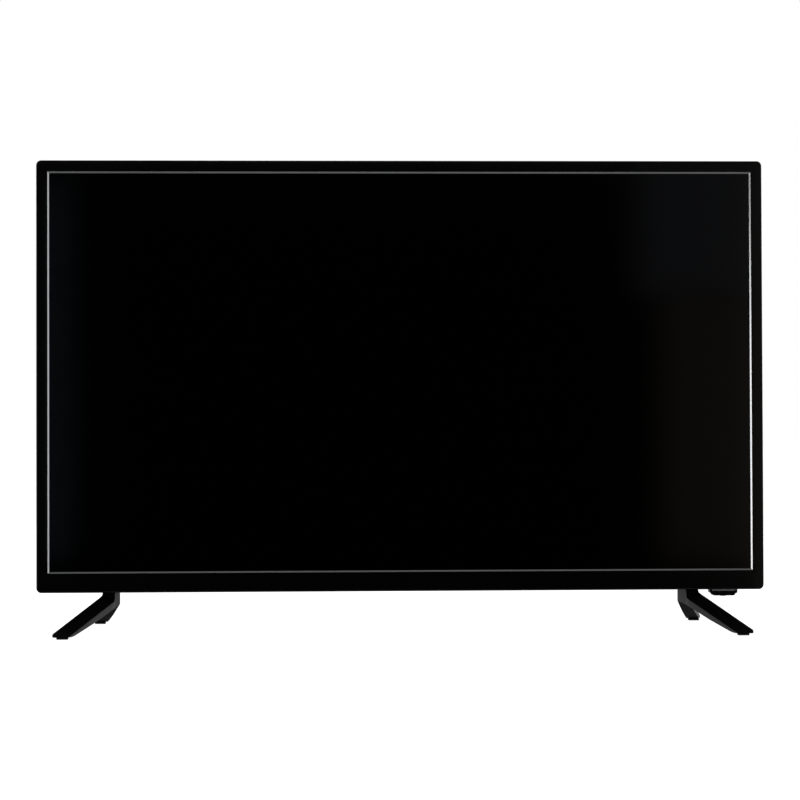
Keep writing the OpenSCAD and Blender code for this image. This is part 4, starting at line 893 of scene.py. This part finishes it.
# Sockets: a moulded plate in the cover's side frames the sockets of the main board.
# On the other side the mains inlet clips into the cover, with two pins in a double-round well.
plate_plastic = eroded_finish("plate_plastic", (0.03, 0.03, 0.032), 0.5)
plate = softened("io_plate", 0.25 * MM)
fitted("socket_plate", plate, plate_plastic, "cover_plastic", "cabinet", "io_plate")
inlet = softened("mains_inlet", 0.4 * MM)
fitted("inlet_body", inlet, socket_black, "socket_black", "cabinet", "mains_inlet")


def flat_strip(length, width, thick):
    """A thin contact strip along X."""
    size = length.node("ShaderNodeCombineXYZ", None, {"X": length, "Y": thick, "Z": width})
    return length.node("GeometryNodeMeshCube", None, {"Size": size})


def collar_ring(middle, breadth, depth):
    """A flat ring round Z."""
    path = middle.node("GeometryNodeCurvePrimitiveCircle", None, {"Resolution": 40, "Radius": middle})
    section = middle.node(
        "GeometryNodeCurvePrimitiveQuadrilateral", None, {"Width": breadth, "Height": depth}
    )
    section = middle.node(
        "GeometryNodeFilletCurve", {"mode": "POLY"}, {"Curve": section, "Count": 2, "Radius": depth * 0.2}
    )
    return middle.node("GeometryNodeCurveToMesh", None, {"Curve": path, "Profile Curve": section})


INTO_SIDE = (math.radians(90), 0, math.radians(90))
mouth_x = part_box("hdmi_sockets")[0].x
tongue_x, tongue_l = mouth_x + 1.45 * MM, 8 * MM
video_z, video_y = (213 * MM, 232 * MM), face_y + 43.45 * MM
data_z, data_y = 194 * MM, face_y + 42.25 * MM
video_tongues = grown(
    "video_tongues", [(tongue_x, video_y, z) for z in video_z], slot_bar, socket_black, INTO_SIDE,
    width=1.6 * MM, height=10.1 * MM, length=tongue_l,
)
fitted("video_tongues", smooth_shaded(video_tongues), socket_black, "socket_black", "cabinet")
data_tongue = grown(
    "data_tongue", [(tongue_x, data_y, data_z)], slot_bar, socket_black, INTO_SIDE,
    width=2 * MM, height=11.1 * MM, length=tongue_l,
)
fitted("data_tongue", smooth_shaded(data_tongue), socket_black, "socket_black", "cabinet")
gilt = mould_finish("gilt_contact", (0.78, 0.55, 0.2), 0.25, 0.1, 1500, 0.08, metal=1.0)
contact_x, contact_l, contact_t = tongue_x + 3.6 * MM, 6 * MM, 0.08 * MM
fine_pitch, wide_pitch = 1.05 * MM, 2.3 * MM
fine_contacts = grown(
    "video_contacts",
    [
        (contact_x, video_y + face * 0.8 * MM, z + (i - 4) * fine_pitch)
        for z in video_z
        for face in (-1, 1)
        for i in range(9)
    ],
    flat_strip, gilt, length=contact_l, width=0.45 * MM, thick=contact_t,
)
fitted("video_contacts", fine_contacts, gilt, "bright_steel", "cabinet")
wide_contacts = grown(
    "data_contacts", [(contact_x, data_y + MM, data_z + (i - 1.5) * wide_pitch) for i in range(4)],
    flat_strip, gilt, length=contact_l, width=1.2 * MM, thick=contact_t,
)
fitted("data_contacts", wide_contacts, gilt, "bright_steel", "cabinet")
OUT_OF_SIDE = (0, math.radians(-90), 0)
collar_x, jack_y = mouth_x - 0.8 * MM, face_y + 45.6 * MM
for name, jack_z, colour in (
    ("picture_jack_collar", 156 * MM, (0.62, 0.42, 0.03)),
    ("ear_jack_collar", 175 * MM, (0.03, 0.2, 0.07)),
):
    finish = mould_finish(name, colour, 0.4, 0.1)
    collar = grown(
        name, [(collar_x, jack_y, jack_z)], collar_ring, finish, OUT_OF_SIDE,
        middle=3.05 * MM, breadth=2.3 * MM, depth=1.6 * MM,
    )
    fitted(name, smooth_shaded(collar), finish, "socket_black", "cabinet")


# Feet: each is one casting in satin black, with an upright neck and two splayed legs.
# The front leg is the longer one, and the toes end bluntly over rubber pads.
# A tenon goes up into the cabinet, and two screws from below hold it.
def eased_table(points, reach):
    """A rounded path over the depth, in millimetres, as a function of the depth."""
    path = eased(points, reach)

    def at(depth):
        for first, last in zip(path, path[1:]):
            if depth <= last.x:
                return first.y + (last.y - first.y) * (depth - first.x) / max(last.x - first.x, 1e-6)
        return path[-1].y

    return at


toe, long_bend, short_bend = 92, 5, 2
inner_at = eased_table(
    [(-toe, 323), (-15, 285.5), (40, 285.5), (66, 295), (84, 302), (toe, 304.5)], long_bend
)
outer_at = eased_table(
    [(-toe, 337.8), (-90.8, 339.3), (-15, 298), (40, 298), (66, 308.2), (84, 316), (toe, 318.5)], long_bend
)
low_at = eased_table(
    [(-toe, 2), (-84, 2), (-49.7, 12), (-15, 24), (40, 24), (66, 10.5), (84, 2), (toe, 2)], long_bend
)
rear_top = [(38.8, 40), (40, 30), (66, 15.5), (84, 8), (toe, 5)]
inner_top_at = eased_table([(-toe, 3.2), (-15, 32), (-14.2, 40), *rear_top], short_bend)
outer_top_at = eased_table([(-toe, 5), (-15, 37.6), (-14.2, 40), *rear_top], short_bend)
depths = [-toe, -91.8, -91.4, -90.8, -90.2, -89.6, -89, -88, *range(-86, -17, 3)]
depths += [-16.2, -15.5, -15, -14.8, -14.5, -14.2, -13.8, -13.2, -12, *range(-8, 38, 5)]
depths += [37.5, 38.3, 38.8, 39.1, 39.5, 39.8, 40, 40.4, 41.2, 42.5, *range(44, 90, 3)]
depths += [90.8, 91.4, 91.8, toe]


def foot_ring(side, depth):
    """The foot's section at a depth in millimetres, drawn in at the toes' tips."""
    tip, rounding = 0.8, 1.2
    past = max(0, abs(depth) - toe + tip)
    draw = tip - math.sqrt(tip * tip - past * past)
    low, inner, outer = low_at(depth) + draw / 2, inner_at(depth) + draw, outer_at(depth) - draw
    inner_top, outer_top = inner_top_at(depth) - draw / 2, outer_top_at(depth) - draw / 2
    section = eased([(inner, low), (inner, inner_top), (outer, outer_top), (outer, low)], rounding, True)
    return [Vector((side * p.x, depth, p.y)) * MM for p in section]


satin_black = mould_finish("satin_black", (0.006, 0.006, 0.0065), 0.42, 0.3, 900, 0.05, shine=0.25)
foot_axis, screw_seat, screw_depths = 291.75 * MM, 32 * MM, (0, 28 * MM)
tenon_foot, bore_foot, passage_foot = 39 * MM, 15 * MM, 20 * MM
for side, name in ((-1, "left"), (1, "right")):
    foot = lofted(name + "_foot_casting", [foot_ring(side, depth) for depth in depths], capped=True)
    tenon = boxed(
        "tenon",
        (min(side * x for x in tenon_x), tenon_y[0], tenon_foot),
        (max(side * x for x in tenon_x), tenon_y[1], belly_low.z + wall),
    )
    counterbores = grown(
        "foot_bores", [(side * foot_axis, y, bore_foot) for y in screw_depths], round_bar, satin_black,
        radius=4.2 * MM, length=screw_seat - bore_foot,
    )
    foot_passages = grown(
        "foot_passages", [(side * foot_axis, y, passage_foot) for y in screw_depths], round_bar, satin_black,
        radius=2.2 * MM, length=30 * MM,
    )
    foot = worked(worked(foot, "UNION", tenon), "DIFFERENCE", counterbores, foot_passages)
    foot = smooth_shaded(foot)
    fitted(name + "_foot_casting", foot, satin_black, "foot_plastic", "cabinet", name + "_foot")
UPSIDE_DOWN = (math.radians(180), 0, 0)
foot_screw_set = grown(
    "foot_screw_set", [(side * foot_axis, y, screw_seat) for side in (-1, 1) for y in screw_depths],
    cross_screw, bright_steel, UPSIDE_DOWN,
    head=3.8 * MM, height=2.5 * MM, shank=2 * MM, length=15 * MM,
)
foot_screw_set = smooth_shaded(foot_screw_set)
fitted("foot_screw_set", foot_screw_set, bright_steel, "bright_steel", "cabinet", "foot_screws")
rubber = mould_finish("pad_rubber", (0.02, 0.02, 0.02), 0.75, 0.25, 1200, 0.3)
fitted("rubber_pads", softened("foot_pads", 0.6 * MM, 3), rubber, "pad_rubber", "cabinet", "foot_pads")
